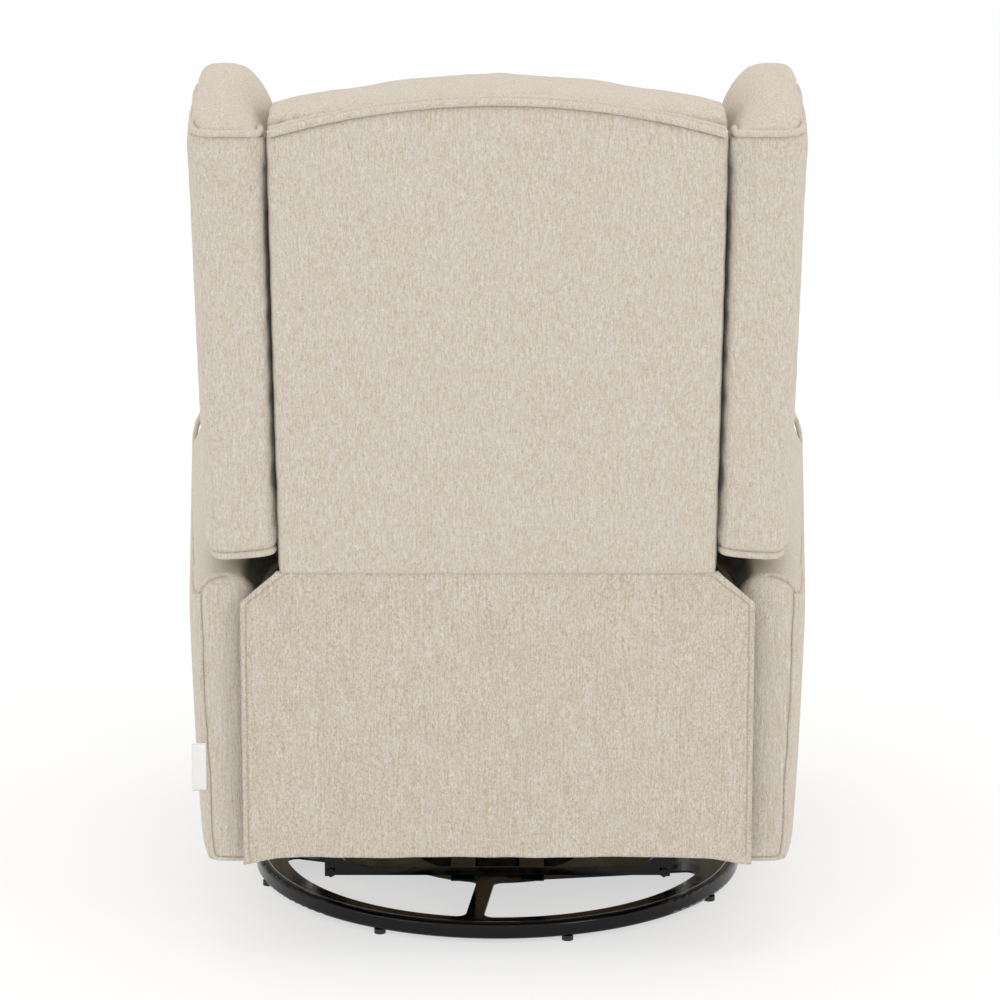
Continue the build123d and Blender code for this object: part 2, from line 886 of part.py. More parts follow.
# Backrest. Its pieces are drawn upright, with Y 0 on the rear face, and then leaned back together.
back_place = Location((0, back_foot_y, back_foot_z), (-back_lean, 0, 0))
back_front_y = -back_panel_thickness
post_front_y = back_front_y - post_wood_depth
webbing_front_y = post_front_y - webbing_thickness
post_outer_wood_x = post_wood_inner_x + post_wood_width
rail_top = back_side_height - rail_gap_below_top


def arch_outline(half_width, side_height, crown_height, foot):
    """A panel outline with an arched top."""
    return make_face(
        [
            Line((-half_width, foot), (half_width, foot)),
            Line((half_width, foot), (half_width, side_height)),
            ThreePointArc((half_width, side_height), (0, crown_height), (-half_width, side_height)),
            Line((-half_width, side_height), (-half_width, foot)),
        ]
    )


def make_back_panel():
    """The padded outside back, with its arched top and softened edge."""
    outline = arch_outline(back_half_width, back_side_height, back_crown_height, 0.0)
    panel = extrude(Plane.XZ * outline, back_panel_thickness)
    rear_edges = panel.faces().sort_by(Axis.Y)[-1].edges().sort_by(Axis.Z)
    return fillet(rear_edges[1:], back_panel_round)


def make_wood_post():
    return block(post_wood_inner_x, post_outer_wood_x, post_front_y, back_front_y, post_wood_foot, rail_top)


def make_wood_rail(foot, height):
    return block(-post_wood_inner_x, post_wood_inner_x, post_front_y, back_front_y, foot, foot + height)


def make_webbing():
    """Stretch bands across the posts behind the cushion."""
    step = (rail_top - top_rail_height - webbing_width) / (webbing_count - 1)
    return group(
        block(
            -post_outer_wood_x,
            post_outer_wood_x,
            webbing_front_y,
            post_front_y,
            step * index,
            step * index + webbing_width,
        )
        for index in range(webbing_count)
    )


def back_section(x):
    """The inside back and its top band at one place across the chair, as seen from the side."""
    share = x / (back_half_width - cushion_side_gap)
    bow = 1 - swell(share, crown_power)
    inset = back_cushion_draw * swell(share, side_power)
    crown = back_cushion_crown * bow
    top_rear = back_side_height + (back_crown_height - back_side_height) * bow - inset
    top_front = top_rear - band_drop
    low_front = back_cushion_front_low - crown + inset
    high_front = back_cushion_front_high - crown + inset
    nose = 2 * band_drop
    ledge = rail_top
    band_mid = (top_rear + top_front) / 2 + band_drop / 2
    bottom = back_cushion_bottom_front + inset
    face_mid = ((low_front + high_front) / 2 - lumbar_bulge, (bottom + top_front) / 2)
    corners = [
        (webbing_front_y, back_cushion_bottom_rear + inset),
        (low_front, bottom),
        (high_front, top_front - nose),
        (high_front + nose, top_front),
        (back_front_y, top_rear),
        (back_front_y, ledge),
        (webbing_front_y, ledge),
    ]
    nose_mid = (high_front + nose * band_nose_share, top_front - nose * band_nose_share)
    return Plane(origin=(x, 0, 0), x_dir=(0, 1, 0), z_dir=(1, 0, 0)) * make_face(
        [
            Line(corners[0], corners[1]),
            ThreePointArc(corners[1], face_mid, corners[2]),
            ThreePointArc(corners[2], nose_mid, corners[3]),
            ThreePointArc(corners[3], ((high_front + nose + back_front_y) / 2, band_mid), corners[4]),
            Line(corners[4], corners[5]),
            Line(corners[5], corners[6]),
            Line(corners[6], corners[0]),
        ]
    )


def make_back_cushion():
    half = back_half_width - cushion_side_gap
    return loft([back_section(half * share) for share in section_shares], ruled=True)


wing_dome_height = wing_rear_height + wing_dome_rise


def wing_outline(inset=0.0):
    """The wing from the side: upright rear edge, domed top, and a front that sweeps down to the arm."""
    rear = -inset
    top = wing_rear_height - inset
    dome = (-wing_dome_setback, wing_dome_height - inset)
    dome_mid = (
        rear + (dome[0] - rear) * wing_dome_bow[0],
        top + (dome[1] - top) * wing_dome_bow[1],
    )
    brow = (-wing_front_depth + inset + wing_edge_round / 2, wing_dome_height * wing_brow_share - inset)
    brow_mid = (
        dome[0] + (brow[0] - dome[0]) * wing_brow_bow[0],
        dome[1] - (dome[1] - brow[1]) * wing_brow_bow[1],
    )
    cheek = (-wing_front_depth + inset + wing_edge_round / 2, wing_dome_height * wing_cheek_share)
    cheek_mid = (-wing_front_depth + inset, (brow[1] + cheek[1]) / 2)
    foot_front = (-wing_foot_depth + inset, wing_foot_front)
    sweep_mid = (
        (cheek[0] + foot_front[0]) / 2 + wing_edge_round / 2,
        (cheek[1] + foot_front[1]) / 2,
    )
    return make_face(
        [
            Line((rear, wing_foot_rear), (rear, top)),
            ThreePointArc((rear, top), dome_mid, dome),
            ThreePointArc(dome, brow_mid, brow),
            ThreePointArc(brow, cheek_mid, cheek),
            ThreePointArc(cheek, sweep_mid, foot_front),
            Line(foot_front, (rear, wing_foot_rear)),
        ]
    )


def make_wing():
    """One wing, whose outer face narrows slightly towards the foot."""
    wing = side_outline(wing_outline(), wing_inner_x, wing_outer_x_top)
    tilt = math.degrees(math.atan2(wing_outer_x_top - wing_outer_x_foot, wing_rear_height))
    trim = Location((wing_outer_x_foot, 0, 0), (0, tilt, 0)) * block(
        0,
        wing_outer_x_top,
        -2 * wing_front_depth,
        wing_front_depth,
        -wing_rear_height,
        2 * wing_rear_height,
    )
    wing -= trim
    outer_edges = wing.faces().sort_by(Axis.X)[-1].edges()
    return fillet(outer_edges, wing_edge_round)


def make_wing_board():
    return side_outline(wing_outline(wing_board_inset), wing_board_x, wing_board_x + wing_board_thickness)


def make_wing_bolts():
    """Bolts from the wooden post through the wing's padding into its board."""
    y = (post_front_y + back_front_y) / 2
    return [
        rod(
            (post_wood_inner_x, y, rail_top * share),
            (wing_board_x + wing_board_thickness, y, rail_top * share),
            wing_bolt_radius,
        )
        for share in wing_bolt_shares
    ]


def make_hinge_arm():
    """The steel arm from the recline pin up the inside of the wooden post."""
    pivot_local = (back_place.inverse() * Pos(0, recline_pivot_y, recline_pivot_z)).position
    pivot = (pivot_local.Y, pivot_local.Z)
    foot = ((post_front_y + back_front_y) / 2, post_wood_foot + side_plate_round)
    head = (foot[0], foot[1] + hinge_arm_reach)
    x1 = post_outer_wood_x + steel_plate
    lower = hull_outline([(*pivot, side_plate_round), (*foot, side_plate_round)])
    upper = hull_outline([(*foot, side_plate_round), (*head, side_plate_round)])
    arm = side_outline(lower + upper, post_outer_wood_x, x1)
    return arm - rod(
        (post_outer_wood_x - overrun, *pivot), (x1 + overrun, *pivot), pivot_pin_radius + running_gap
    )


def lean(solid):
    """Move a backrest piece from its own upright frame to its place on the chair."""
    return back_place * solid


wing_bolts = make_wing_bolts()
wood_post = make_wood_post() - wing_bolts
wing_board = make_wing_board() - wing_bolts
wing_pad = make_wing() - make_wing_board() - wing_bolts
save("wing_pad_left", lean(wing_pad))
save("wing_pad_right", lean(mirrored(wing_pad)))
for name, pieces in (
    ("back_posts", [wood_post]),
    ("wing_boards", [wing_board]),
    ("hinge_arms", [make_hinge_arm() - wing_bolts]),
    ("wing_bolts", wing_bolts),
):
    save(name, lean(both(pieces)))
back_rails = [
    make_wood_rail(rail_top - top_rail_height, top_rail_height),
    make_wood_rail(0, lower_rail_height),
]
save("back_rails", lean(group(back_rails)))
save("back_webbing", lean(make_webbing()))
save("back_cushion", lean(make_back_cushion()))
save("back_panel", lean(make_back_panel()))

# The recline pins turn in the hinge arms and are held by the side plates
recline_pin = bolt(
    (side_plate_outer_x, *recline_pivot),
    (post_outer_wood_x, *recline_pivot),
    pivot_pin_radius,
    pin_head_radius,
    pin_head_height,
    sides=0,
)
save("recline_pins", both([recline_pin]))


# Rear flap, a hanging cloth with shallow upright folds
def flap_outline():
    """The flap from behind: straight sides, cut in at the shoulders to the back's foot."""
    return make_face(
        Polyline(
            (-flap_half_width, flap_bottom_z),
            (flap_half_width, flap_bottom_z),
            (flap_half_width, flap_shoulder_z),
            (flap_top_half_width, back_foot_z - soft_gap),
            (-flap_top_half_width, back_foot_z - soft_gap),
            (-flap_half_width, flap_shoulder_z),
            close=True,
        )
    )


def make_flap():
    """The flap's folds run down it, so its plan is a shallow wave."""
    width = 2 * flap_half_width / flap_fold_count
    outer_y = back_foot_y - flap_fold_depth
    inner_y = outer_y - flap_thickness
    edges = []
    for y, direction in ((outer_y, 1), (inner_y, -1)):
        for index in range(flap_fold_count):
            x0 = direction * (-flap_half_width + width * index)
            x1 = x0 + direction * width
            fold = index if direction > 0 else flap_fold_count - 1 - index
            bow = flap_fold_depth * (1 if fold % 2 == 0 else -1)
            edges.append(ThreePointArc((x0, y), ((x0 + x1) / 2, y + bow), (x1, y)))
    edges.append(Line((flap_half_width, outer_y), (flap_half_width, inner_y)))
    edges.append(Line((-flap_half_width, inner_y), (-flap_half_width, outer_y)))
    sheet = Pos(0, 0, flap_bottom_z) * extrude(make_face(edges), back_foot_z - flap_bottom_z)
    window = Plane.XZ.offset(-back_foot_y) * flap_outline()
    return sheet & extrude(window, flap_thickness + overrun, both=True)


save("rear_flap", make_flap())


# Footrest
def in_plane(points, radius, x0, x1, bored=(), riveted=()):
    """A linkage plate round pivots, bored with running clearance or for a tight rivet."""
    plate = link([(*point, radius) for point in points], x0, x1, [])
    for places, hole in ((bored, pivot_pin_radius + running_gap), (riveted, pivot_pin_radius)):
        for y, z in places:
            plate -= rod((x0 - overrun, y, z), (x1 + overrun, y, z), hole)
    return plate


def make_drive_link():
    plate = in_plane(
        [drive_pivot, elbow, tie_elbow],
        footrest_link_round,
        inner_plane_x,
        inner_plane_top,
        riveted=[elbow, tie_elbow],
    )
    boss = rod((inner_plane_x, *drive_pivot), (inner_plane_top, *drive_pivot), side_plate_round)
    ends = ((inner_plane_x - overrun, *drive_pivot), (inner_plane_top + overrun, *drive_pivot))
    return plate + boss - rod(*ends, drive_shaft_radius)


def make_rivet(place, x0, x1):
    """A rivet held in the plate at x0 that turns in the plate at x1."""
    return rod((x0, *place), (x1, *place), pivot_pin_radius)


def make_bracket():
    """The plate on the footrest board that takes the two outer links."""
    flange = [
        (board_rear_y + steel_plate, board_pivot_z - bracket_flange_height, steel_plate),
        (board_rear_y + steel_plate, tie_board[1], steel_plate),
    ]
    discs = [(*board_pivot, footrest_link_round), (*tie_board, footrest_link_round - steel_plate)]
    return link(
        discs + flange,
        inner_plane_x,
        inner_plane_top,
        [(*board_pivot, pivot_pin_radius), (*tie_board, pivot_pin_radius)],
    )


def make_footrest_pad():
    """The crowned pad on the footrest board, facing forwards when closed."""
    faces = []
    top_z = footrest_bottom_z + footrest_height
    for share in section_shares:
        fall = swell(share, edge_power)
        x = cushion_half_width * share
        front = seat_front_y + footrest_crown * (fall + swell(share, crown_power) / 2)
        back = board_rear_y - footrest_board_thickness
        inset = cushion_draw * fall
        plane = Plane(origin=(x, 0, 0), x_dir=(0, 1, 0), z_dir=(1, 0, 0))
        low = (front + footrest_crown, footrest_bottom_z + inset)
        high = (front + footrest_crown, top_z - inset)
        faces.append(
            plane
            * make_face(
                [
                    ThreePointArc(low, (front, (footrest_bottom_z + top_z) / 2), high),
                    Line(high, (back, top_z - inset)),
                    Line((back, top_z - inset), (back, footrest_bottom_z + inset)),
                    Line((back, footrest_bottom_z + inset), low),
                ]
            )
        )
    return loft(faces, ruled=True)


footrest_pad = make_footrest_pad()
footrest_board = block(
    -cushion_half_width + cushion_draw,
    cushion_half_width - cushion_draw,
    board_rear_y - footrest_board_thickness,
    board_rear_y,
    footrest_bottom_z + cushion_draw,
    footrest_bottom_z + footrest_height - cushion_draw,
)
front_link = in_plane(
    [elbow, board_pivot],
    footrest_link_round,
    outer_plane_x,
    outer_plane_top,
    bored=[elbow, board_pivot],
)
control_arm = in_plane(
    [elbow, control_elbow], footrest_link_round, outer_plane_x, outer_plane_top, riveted=[control_elbow]
)
front_link = front_link + control_arm - rod(
    (outer_plane_x - overrun, *elbow), (outer_plane_top + overrun, *elbow), pivot_pin_radius + running_gap
)
control_link = in_plane(
    [control_pivot, control_elbow],
    footrest_link_round,
    inner_plane_x,
    inner_plane_top,
    bored=[control_pivot, control_elbow],
)
tie_link = in_plane(
    [tie_elbow, tie_board],
    footrest_link_round - steel_plate / 2,
    outer_plane_x,
    outer_plane_top,
    bored=[tie_elbow, tie_board],
)
save("drive_links", both([make_drive_link()]))
save("front_links", both([front_link]))
save("control_links", both([control_link]))
save("tie_links", both([tie_link]))
drive_rivets = [make_rivet(place, inner_plane_x, outer_plane_top) for place in (elbow, tie_elbow)]
save("drive_rivets", both(drive_rivets))
save("front_rivets", both([make_rivet(control_elbow, outer_plane_top, inner_plane_x)]))
save("control_rivets", both([make_rivet(control_pivot, side_plate_outer_x, inner_plane_x)]))
shaft_end = side_plate_outer_x - soft_gap
save("drive_shaft", rod((-shaft_end, *drive_pivot), (shaft_end, *drive_pivot), drive_shaft_radius))
save("footrest_brackets", both([make_bracket()]))
save(
    "footrest_rivets",
    both([make_rivet(place, inner_plane_x, outer_plane_top) for place in (board_pivot, tie_board)]),
)
save("footrest_board", footrest_board)
save("footrest_pad", footrest_pad)

# Release lever in the gap between the cushion and the sitter's right arm
lever_outer_x = lever_inner_x + lever_thickness
lever_bracket_x = lever_outer_x + running_gap


def make_lever():
    grip = (lever_pivot[0], lever_pivot[1] + lever_length)
    lever = link(
        [(*lever_pivot, lever_round), (*grip, lever_grip_round)], lever_inner_x, lever_outer_x, []
    )
    ends = ((lever_inner_x - overrun, *lever_pivot), (lever_outer_x + overrun, *lever_pivot))
    return mirrored(lever - rod(*ends, pivot_pin_radius + running_gap))


def make_lever_bracket():
    """A small bracket on the side rail that holds the lever's pin."""
    foot = block(
        lever_bracket_x,
        lever_bracket_x + lever_bracket_thickness,
        lever_pivot_y - 2 * lever_round,
        lever_pivot_y + 2 * lever_round,
        rail_top_z,
        rail_top_z + lever_pivot_rise + lever_round,
    )
    stem = rod((lever_inner_x, *lever_pivot), (lever_bracket_x, *lever_pivot), pivot_pin_radius)
    return mirrored(foot + stem)


save("release_lever", make_lever())
save("lever_bracket", make_lever_bracket())


# Blank tag sewn into the rear outer seam of the left arm
def make_tag():
    x = arm_foot_x_rear
    y = arm_rear_y + soft_gap
    return block(x, x + tag_width, y, y + tag_thickness, tag_top_z - tag_height, tag_top_z)


save("blank_tag", make_tag())
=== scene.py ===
from math import atan2, cos, exp, hypot, pi, radians, sin

import bmesh
import bpy
import numpy as np
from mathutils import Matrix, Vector, noise
from mathutils.bvhtree import BVHTree
from mathutils.kdtree import KDTree


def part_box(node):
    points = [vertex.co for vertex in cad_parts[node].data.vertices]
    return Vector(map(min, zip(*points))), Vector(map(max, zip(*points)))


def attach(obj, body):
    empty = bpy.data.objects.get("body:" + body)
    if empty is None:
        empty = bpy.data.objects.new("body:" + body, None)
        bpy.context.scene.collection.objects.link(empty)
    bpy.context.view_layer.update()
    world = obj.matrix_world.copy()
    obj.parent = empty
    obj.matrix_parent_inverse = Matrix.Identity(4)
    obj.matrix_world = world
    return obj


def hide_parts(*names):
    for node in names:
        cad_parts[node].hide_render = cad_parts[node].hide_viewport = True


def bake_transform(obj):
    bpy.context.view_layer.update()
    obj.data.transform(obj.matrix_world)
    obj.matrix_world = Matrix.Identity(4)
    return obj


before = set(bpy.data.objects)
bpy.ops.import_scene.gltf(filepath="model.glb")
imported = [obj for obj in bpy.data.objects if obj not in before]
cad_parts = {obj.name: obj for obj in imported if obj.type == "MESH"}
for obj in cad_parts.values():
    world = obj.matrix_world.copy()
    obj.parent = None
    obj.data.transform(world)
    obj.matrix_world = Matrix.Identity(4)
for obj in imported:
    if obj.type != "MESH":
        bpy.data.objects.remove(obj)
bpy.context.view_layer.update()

scene = bpy.context.scene


# Studio.
# A plain white studio: a pale floor that runs off to a white surround, with large soft lamps.
# The floor is lit through from below, as a light table is, so that shadows stay faint.
# The chair is seen from behind and slightly above, through a long lens.

def linear(code):
    """An sRGB hex colour as linear red, green, blue and alpha."""
    parts = [int(code[i:i + 2], 16) / 255 for i in (1, 3, 5)]
    return tuple(c / 12.92 if c <= 0.04045 else ((c + 0.055) / 1.055) ** 2.4 for c in parts) + (1.0,)


def add(tree, kind, inputs=None, **settings):
    """Adds a node, sets what it is, and fills or links its inputs."""
    node = tree.nodes.new(kind)
    for key, value in settings.items():
        setattr(node, key, value)
    for key, value in (inputs or {}).items():
        if isinstance(value, bpy.types.NodeSocket):
            tree.links.new(value, node.inputs[key])
        else:
            node.inputs[key].default_value = value
    return node


def new_material(name):
    """An empty material with its output node, ready for a finish."""
    material = bpy.data.materials.new(name)
    material.use_nodes = True
    material.node_tree.nodes.clear()
    return material, material.node_tree


def close_material(tree, shader):
    add(tree, "ShaderNodeOutputMaterial", {"Surface": shader.outputs[0]})


def mixed(tree, factor, a, b):
    """The colour between two, by a factor. Each is a hex code or another node's colour."""
    colours = [linear(colour) if isinstance(colour, str) else colour for colour in (a, b)]
    mix = add(tree, "ShaderNodeMix", {"Factor": factor, "A": colours[0], "B": colours[1]}, data_type="RGBA")
    return mix.outputs["Result"]


def maths(tree, operation, *values):
    """The result of an arithmetic node on numbers or on other nodes' results."""
    return add(tree, "ShaderNodeMath", dict(enumerate(values)), operation=operation).outputs[0]


def noise_at(tree, place, scale, detail, roughness=0.5, distortion=0.0):
    """The grey of a noise node at each place."""
    node = add(tree, "ShaderNodeTexNoise", {"Vector": place, "Scale": scale, "Detail": detail,
                                            "Roughness": roughness, "Distortion": distortion})
    return node.outputs["Fac"]


def new_piece(name, bm):
    """A mesh object from a bmesh, linked to the scene."""
    mesh = bpy.data.meshes.new(name)
    bm.to_mesh(mesh)
    bm.free()
    piece = bpy.data.objects.new(name, mesh)
    scene.collection.objects.link(piece)
    return piece


floor_half = 9.0
floor_bm = bmesh.new()
bmesh.ops.create_grid(floor_bm, x_segments=8, y_segments=8, size=floor_half)
floor = new_piece("studio_floor", floor_bm)
floor_paint, tree = new_material("matt_white_studio_floor")
place = add(tree, "ShaderNodeTexCoord")
cloud = noise_at(tree, place.outputs["Object"], 3.0, 3.0)
tone = mixed(tree, cloud, "#FAFAFA", "#FDFDFD")
bounce = add(tree, "ShaderNodeBsdfDiffuse", {"Color": tone})
glow = add(tree, "ShaderNodeEmission", {"Color": linear("#FFFFFF"), "Strength": 1.0})
close_material(tree, add(tree, "ShaderNodeMixShader", {0: 0.6, 1: bounce.outputs[0], 2: glow.outputs[0]}))
floor.data.materials.append(floor_paint)

world = bpy.data.worlds.new("white_surround")
world.use_nodes = True
world.node_tree.nodes["Background"].inputs["Color"].default_value = (1.0, 1.0, 1.0, 1.0)
world.node_tree.nodes["Background"].inputs["Strength"].default_value = 1.0
scene.world = world
scene.view_settings.view_transform = "Standard"
scene.view_settings.look = "None"


def soft_lamp(name, position, aim, size, power, colour, height=None):
    """A round soft lamp, or with a height a long low strip, which draws a line of light on gloss."""
    data = bpy.data.lights.new(name, "AREA")
    data.shape = "RECTANGLE" if height else "DISK"
    data.size = size
    data.size_y = height or size
    data.energy = power
    data.color = linear(colour)[:3]
    lamp = bpy.data.objects.new(name, data)
    lamp.location = position
    lamp.rotation_euler = (Vector(aim) - Vector(position)).to_track_quat("-Z", "Y").to_euler()
    scene.collection.objects.link(lamp)


soft_lamp("overhead_lamp", (0.0, 0.6, 3.2), (0.0, 0.0, 0.4), 2.2, 9.0, "#FFF4E2")
soft_lamp("right_lamp", (-2.6, 3.2, 2.0), (0.0, 0.0, 0.6), 1.2, 18.0, "#FFFFFF")
soft_lamp("left_strip_lamp", (2.8, 2.4, 1.3), (0.0, 0.0, 0.4), 2.6, 10.0, "#F6F8FF", height=0.08)

camera_data = bpy.data.cameras.new("photo_camera")
camera_data.sensor_width = 36.0
camera_data.lens = 164.6
camera_data.shift_x = 0.0026
camera_data.clip_end = 60.0
camera = bpy.data.objects.new("photo_camera", camera_data)
camera.location = (0.0, 5.5, 1.876)
camera.rotation_euler = (radians(90 - 14.3), 0.0, pi)
scene.collection.objects.link(camera)
scene.camera = camera


# Ring base.
# A rolled steel ring on the floor, with a pressed plate of four spokes welded in it.
# Both have a gloss black powder coat, and eight nylon glides stand under the ring.

def powder_coat(name, coat="#020203", orange_peel=0.0035, roughness=0.12):
    """Gloss powder-coated steel: a deep black film with a faint orange-peel ripple and dust."""
    material, tree = new_material(name)
    place = add(tree, "ShaderNodeTexCoord")
    ripple = noise_at(tree, place.outputs["Object"], 1 / orange_peel, 2.0)
    dust = noise_at(tree, place.outputs["Object"], 60.0, 6.0)
    film = mixed(tree, dust, coat, "#050506")
    gloss = add(tree, "ShaderNodeMapRange",
                {"Value": dust, "From Min": 0.35, "From Max": 0.7, "To Min": roughness - 0.05,
                 "To Max": roughness + 0.1})
    bump = add(tree, "ShaderNodeBump", {"Height": ripple, "Strength": 0.12, "Distance": 0.0004})
    close_material(tree, add(tree, "ShaderNodeBsdfPrincipled",
                             {"Base Color": film, "Roughness": gloss.outputs["Result"],
                              "IOR": 1.5, "Specular IOR Level": 0.26,
                              "Normal": bump.outputs["Normal"]}))
    return material


def moulded_nylon(name, tint="#101011", grain=0.0012):
    """Black moulded nylon: satin, with the fine spark grain of its mould."""
    material, tree = new_material(name)
    place = add(tree, "ShaderNodeTexCoord")
    spark = noise_at(tree, place.outputs["Object"], 1 / grain, 4.0)
    tone = mixed(tree, spark, tint, "#1C1C1D")
    bump = add(tree, "ShaderNodeBump", {"Height": spark, "Strength": 0.3, "Distance": 0.0002})
    close_material(tree, add(tree, "ShaderNodeBsdfPrincipled",
                             {"Base Color": tone, "Roughness": 0.48, "IOR": 1.53,
                              "Normal": bump.outputs["Normal"]}))
    return material


def finish_nodes(material, *names):
    """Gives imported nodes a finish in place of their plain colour."""
    for name in names:
        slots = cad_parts[name].material_slots
        for slot in slots:
            slot.material = material
        if not slots:
            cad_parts[name].data.materials.append(material)


black_coat = powder_coat("gloss_black_powder_coat")
black_nylon = moulded_nylon("black_moulded_nylon")
finish_nodes(black_coat, "base_ring", "spider_plate")
finish_nodes(black_nylon, "foot_glides")


# Swivel bearing.
# Two pressed races with a circle of steel balls between them, clamped by one king bolt.
# The races are zinc plated, and three screws hold the lower one to the spider plate.

def zinc_plate(name, tint="#B9BBBE", spangle=0.006):
    """Bright zinc plate on steel: a cool grey metal with a cloudy, lightly handled skin."""
    material, tree = new_material(name)
    place = add(tree, "ShaderNodeTexCoord")
    cloud = noise_at(tree, place.outputs["Object"], 1 / spangle, 5.0)
    tone = mixed(tree, cloud, tint, "#8E9094")
    rough = add(tree, "ShaderNodeMapRange", {"Value": cloud, "To Min": 0.22, "To Max": 0.42})
    close_material(tree, add(tree, "ShaderNodeBsdfPrincipled",
                             {"Base Color": tone, "Metallic": 1.0,
                              "Roughness": rough.outputs["Result"]}))
    return material


zinc = zinc_plate("bright_zinc_plate")
finish_nodes(zinc, "lower_race", "upper_race", "bearing_balls", "race_screws", "king_bolt")


# Glider frame.
# Two box rails turn on the bearing and carry two cross bars, four posts and their gussets.
# All of it is the ring's black powder-coated steel, joined by small black bolts.

finish_nodes(black_coat, "swivel_rails", "cross_bars", "cross_gussets", "glide_rails", "glide_posts")
finish_nodes(black_coat, "frame_bolts")


# Glide links.
# Four flat links hang the seat from the tops of the posts, so that it glides fore and aft.
# Each turns on steel pins in pressed-in nylon bushes.

finish_nodes(black_coat, "glide_links_front", "glide_links_rear", "carriage_hangers", "carriage_tubes")
finish_nodes(zinc, "upper_glide_pins", "lower_glide_pins")
finish_nodes(black_nylon, "glide_bushes_front", "glide_bushes_rear")


# Side plates.
# Two steel plates bolt the carriage to the seat's wooden rails.
# They also hold the footrest's drive shaft and the backrest's hinge pins.

finish_nodes(black_coat, "side_plates")
finish_nodes(zinc, "recline_pins", "control_rivets")


# Seat frame.
# A frame of sawn pine rails, with five wave springs stapled across it.
# Nothing of it is seen once the chair is upholstered, except from below.

def sawn_pine(name, along, light="#D9B98C", dark="#B98F5E", ring_width=0.006):
    """Sawn pine: pale yellow wood with long straight grain and a dry, fuzzy surface."""
    material, tree = new_material(name)
    place = add(tree, "ShaderNodeTexCoord")
    stretch = [1.0, 1.0, 1.0]
    stretch["XYZ".index(along)] = 0.06
    laid = add(tree, "ShaderNodeMapping", {"Vector": place.outputs["Object"], "Scale": stretch})
    rings = noise_at(tree, laid.outputs["Vector"], 1 / ring_width, 6.0, distortion=0.4)
    ramp = add(tree, "ShaderNodeMapRange", {"Value": rings, "From Min": 0.35, "From Max": 0.65})
    tone = mixed(tree, ramp.outputs["Result"], light, dark)
    bump = add(tree, "ShaderNodeBump", {"Height": rings, "Strength": 0.4, "Distance": 0.0005})
    close_material(tree, add(tree, "ShaderNodeBsdfPrincipled",
                             {"Base Color": tone, "Roughness": 0.78,
                              "Normal": bump.outputs["Normal"]}))
    return material


def birch_plywood(name, along):
    """Birch plywood: paler and finer in the grain than pine."""
    return sawn_pine(name, along, light="#E0C79C", dark="#C9A877", ring_width=0.004)


finish_nodes(sawn_pine("sawn_pine_fore_and_aft", "Y"), "side_rails")
finish_nodes(sawn_pine("sawn_pine_across", "X"), "seat_cross_rails")
finish_nodes(zinc_plate("drawn_spring_steel", tint="#6F7276", spangle=0.002), "seat_springs")


# Seat cushion.
# A boxed foam cushion, crowned on top, in the beige slub weave that covers the whole chair.
# Its top and bottom seams are piped with the same cloth.

seat_node = "seat_cushion"
seat_swell = 0.012
seat_piping_radius = 0.0038


def slub_weave(name, light="#D5D2CB", dark="#B7A185", yarn=0.0018, crease=1.0, streak_share=0.85,
               contrast=1.2):
    """Upholstery weave of thick and thin yarns: matt and warm beige, with short upright slubs,
    faint long streaks, a fine grain and a crinkled surface. The yarns are drawn at 1.8 mm.
    The seam attribute paints shade along a stitched line, and a second attribute paints near-black shade on
    sides that face into the chair."""
    grain_share, cloud_share, spread = 1.15, 0.10, 0.605 / contrast
    material, tree = new_material(name)
    place = add(tree, "ShaderNodeTexCoord")
    upright = add(tree, "ShaderNodeMapping", {"Vector": place.outputs["Object"], "Scale": (1.0, 1.0, 0.34)})
    streak = add(tree, "ShaderNodeMapping", {"Vector": place.outputs["Object"], "Scale": (1.0, 1.0, 0.05)})
    slubs = noise_at(tree, upright.outputs["Vector"], 1 / yarn, 1.0, roughness=0.6)
    streaks = noise_at(tree, streak.outputs["Vector"], 1 / yarn, 1.0)
    grain = noise_at(tree, place.outputs["Object"], 1.35 / yarn, 1.0)
    clouds = noise_at(tree, place.outputs["Object"], 14.0, 3.0)
    crinkle = noise_at(tree, place.outputs["Object"], 0.52 / yarn, 4.0, roughness=0.62, distortion=0.5)
    long_yarn = maths(tree, "MULTIPLY_ADD", streaks, streak_share, slubs)
    fine = maths(tree, "MULTIPLY_ADD", grain, grain_share, long_yarn)
    shade = maths(tree, "MULTIPLY_ADD", clouds, cloud_share, fine)
    middle = (1 + streak_share + grain_share + cloud_share) / 2 - 0.04
    amount = add(tree, "ShaderNodeMapRange",
                 {"Value": shade, "From Min": middle - spread, "From Max": middle + spread})
    cloth = mixed(tree, amount.outputs["Result"], dark, light)
    # Painted shade: the seam attribute darkens the cloth towards #9C8A6E along seams
    sewn = add(tree, "ShaderNodeAttribute", attribute_name="seam")
    fold = maths(tree, "MULTIPLY", sewn.outputs["Fac"], 0.62)
    shaded = mixed(tree, fold, cloth, "#9C8A6E")
    # Painted shade: sides facing into the chair are darkened towards near black #0E0A06
    gap_shade_attr = add(tree, "ShaderNodeAttribute", attribute_name="painted_gap_shade")
    deep = mixed(tree, gap_shade_attr.outputs["Fac"], shaded, "#0E0A06")
    creased = maths(tree, "MULTIPLY", crinkle, 1.2 * crease)
    height = maths(tree, "MULTIPLY_ADD", slubs, 0.8, creased)
    surface = maths(tree, "MULTIPLY_ADD", grain, 0.5, height)
    bump = add(tree, "ShaderNodeBump", {"Height": surface, "Strength": 0.6, "Distance": 0.0016})
    close_material(tree, add(tree, "ShaderNodeBsdfPrincipled",
                             {"Base Color": deep, "Roughness": 0.88, "Sheen Weight": 0.18,
                              "Sheen Roughness": 0.5, "Sheen Tint": linear("#FFF8EA"),
                              "Normal": bump.outputs["Normal"]}))
    return material


weave = slub_weave("beige_slub_weave")


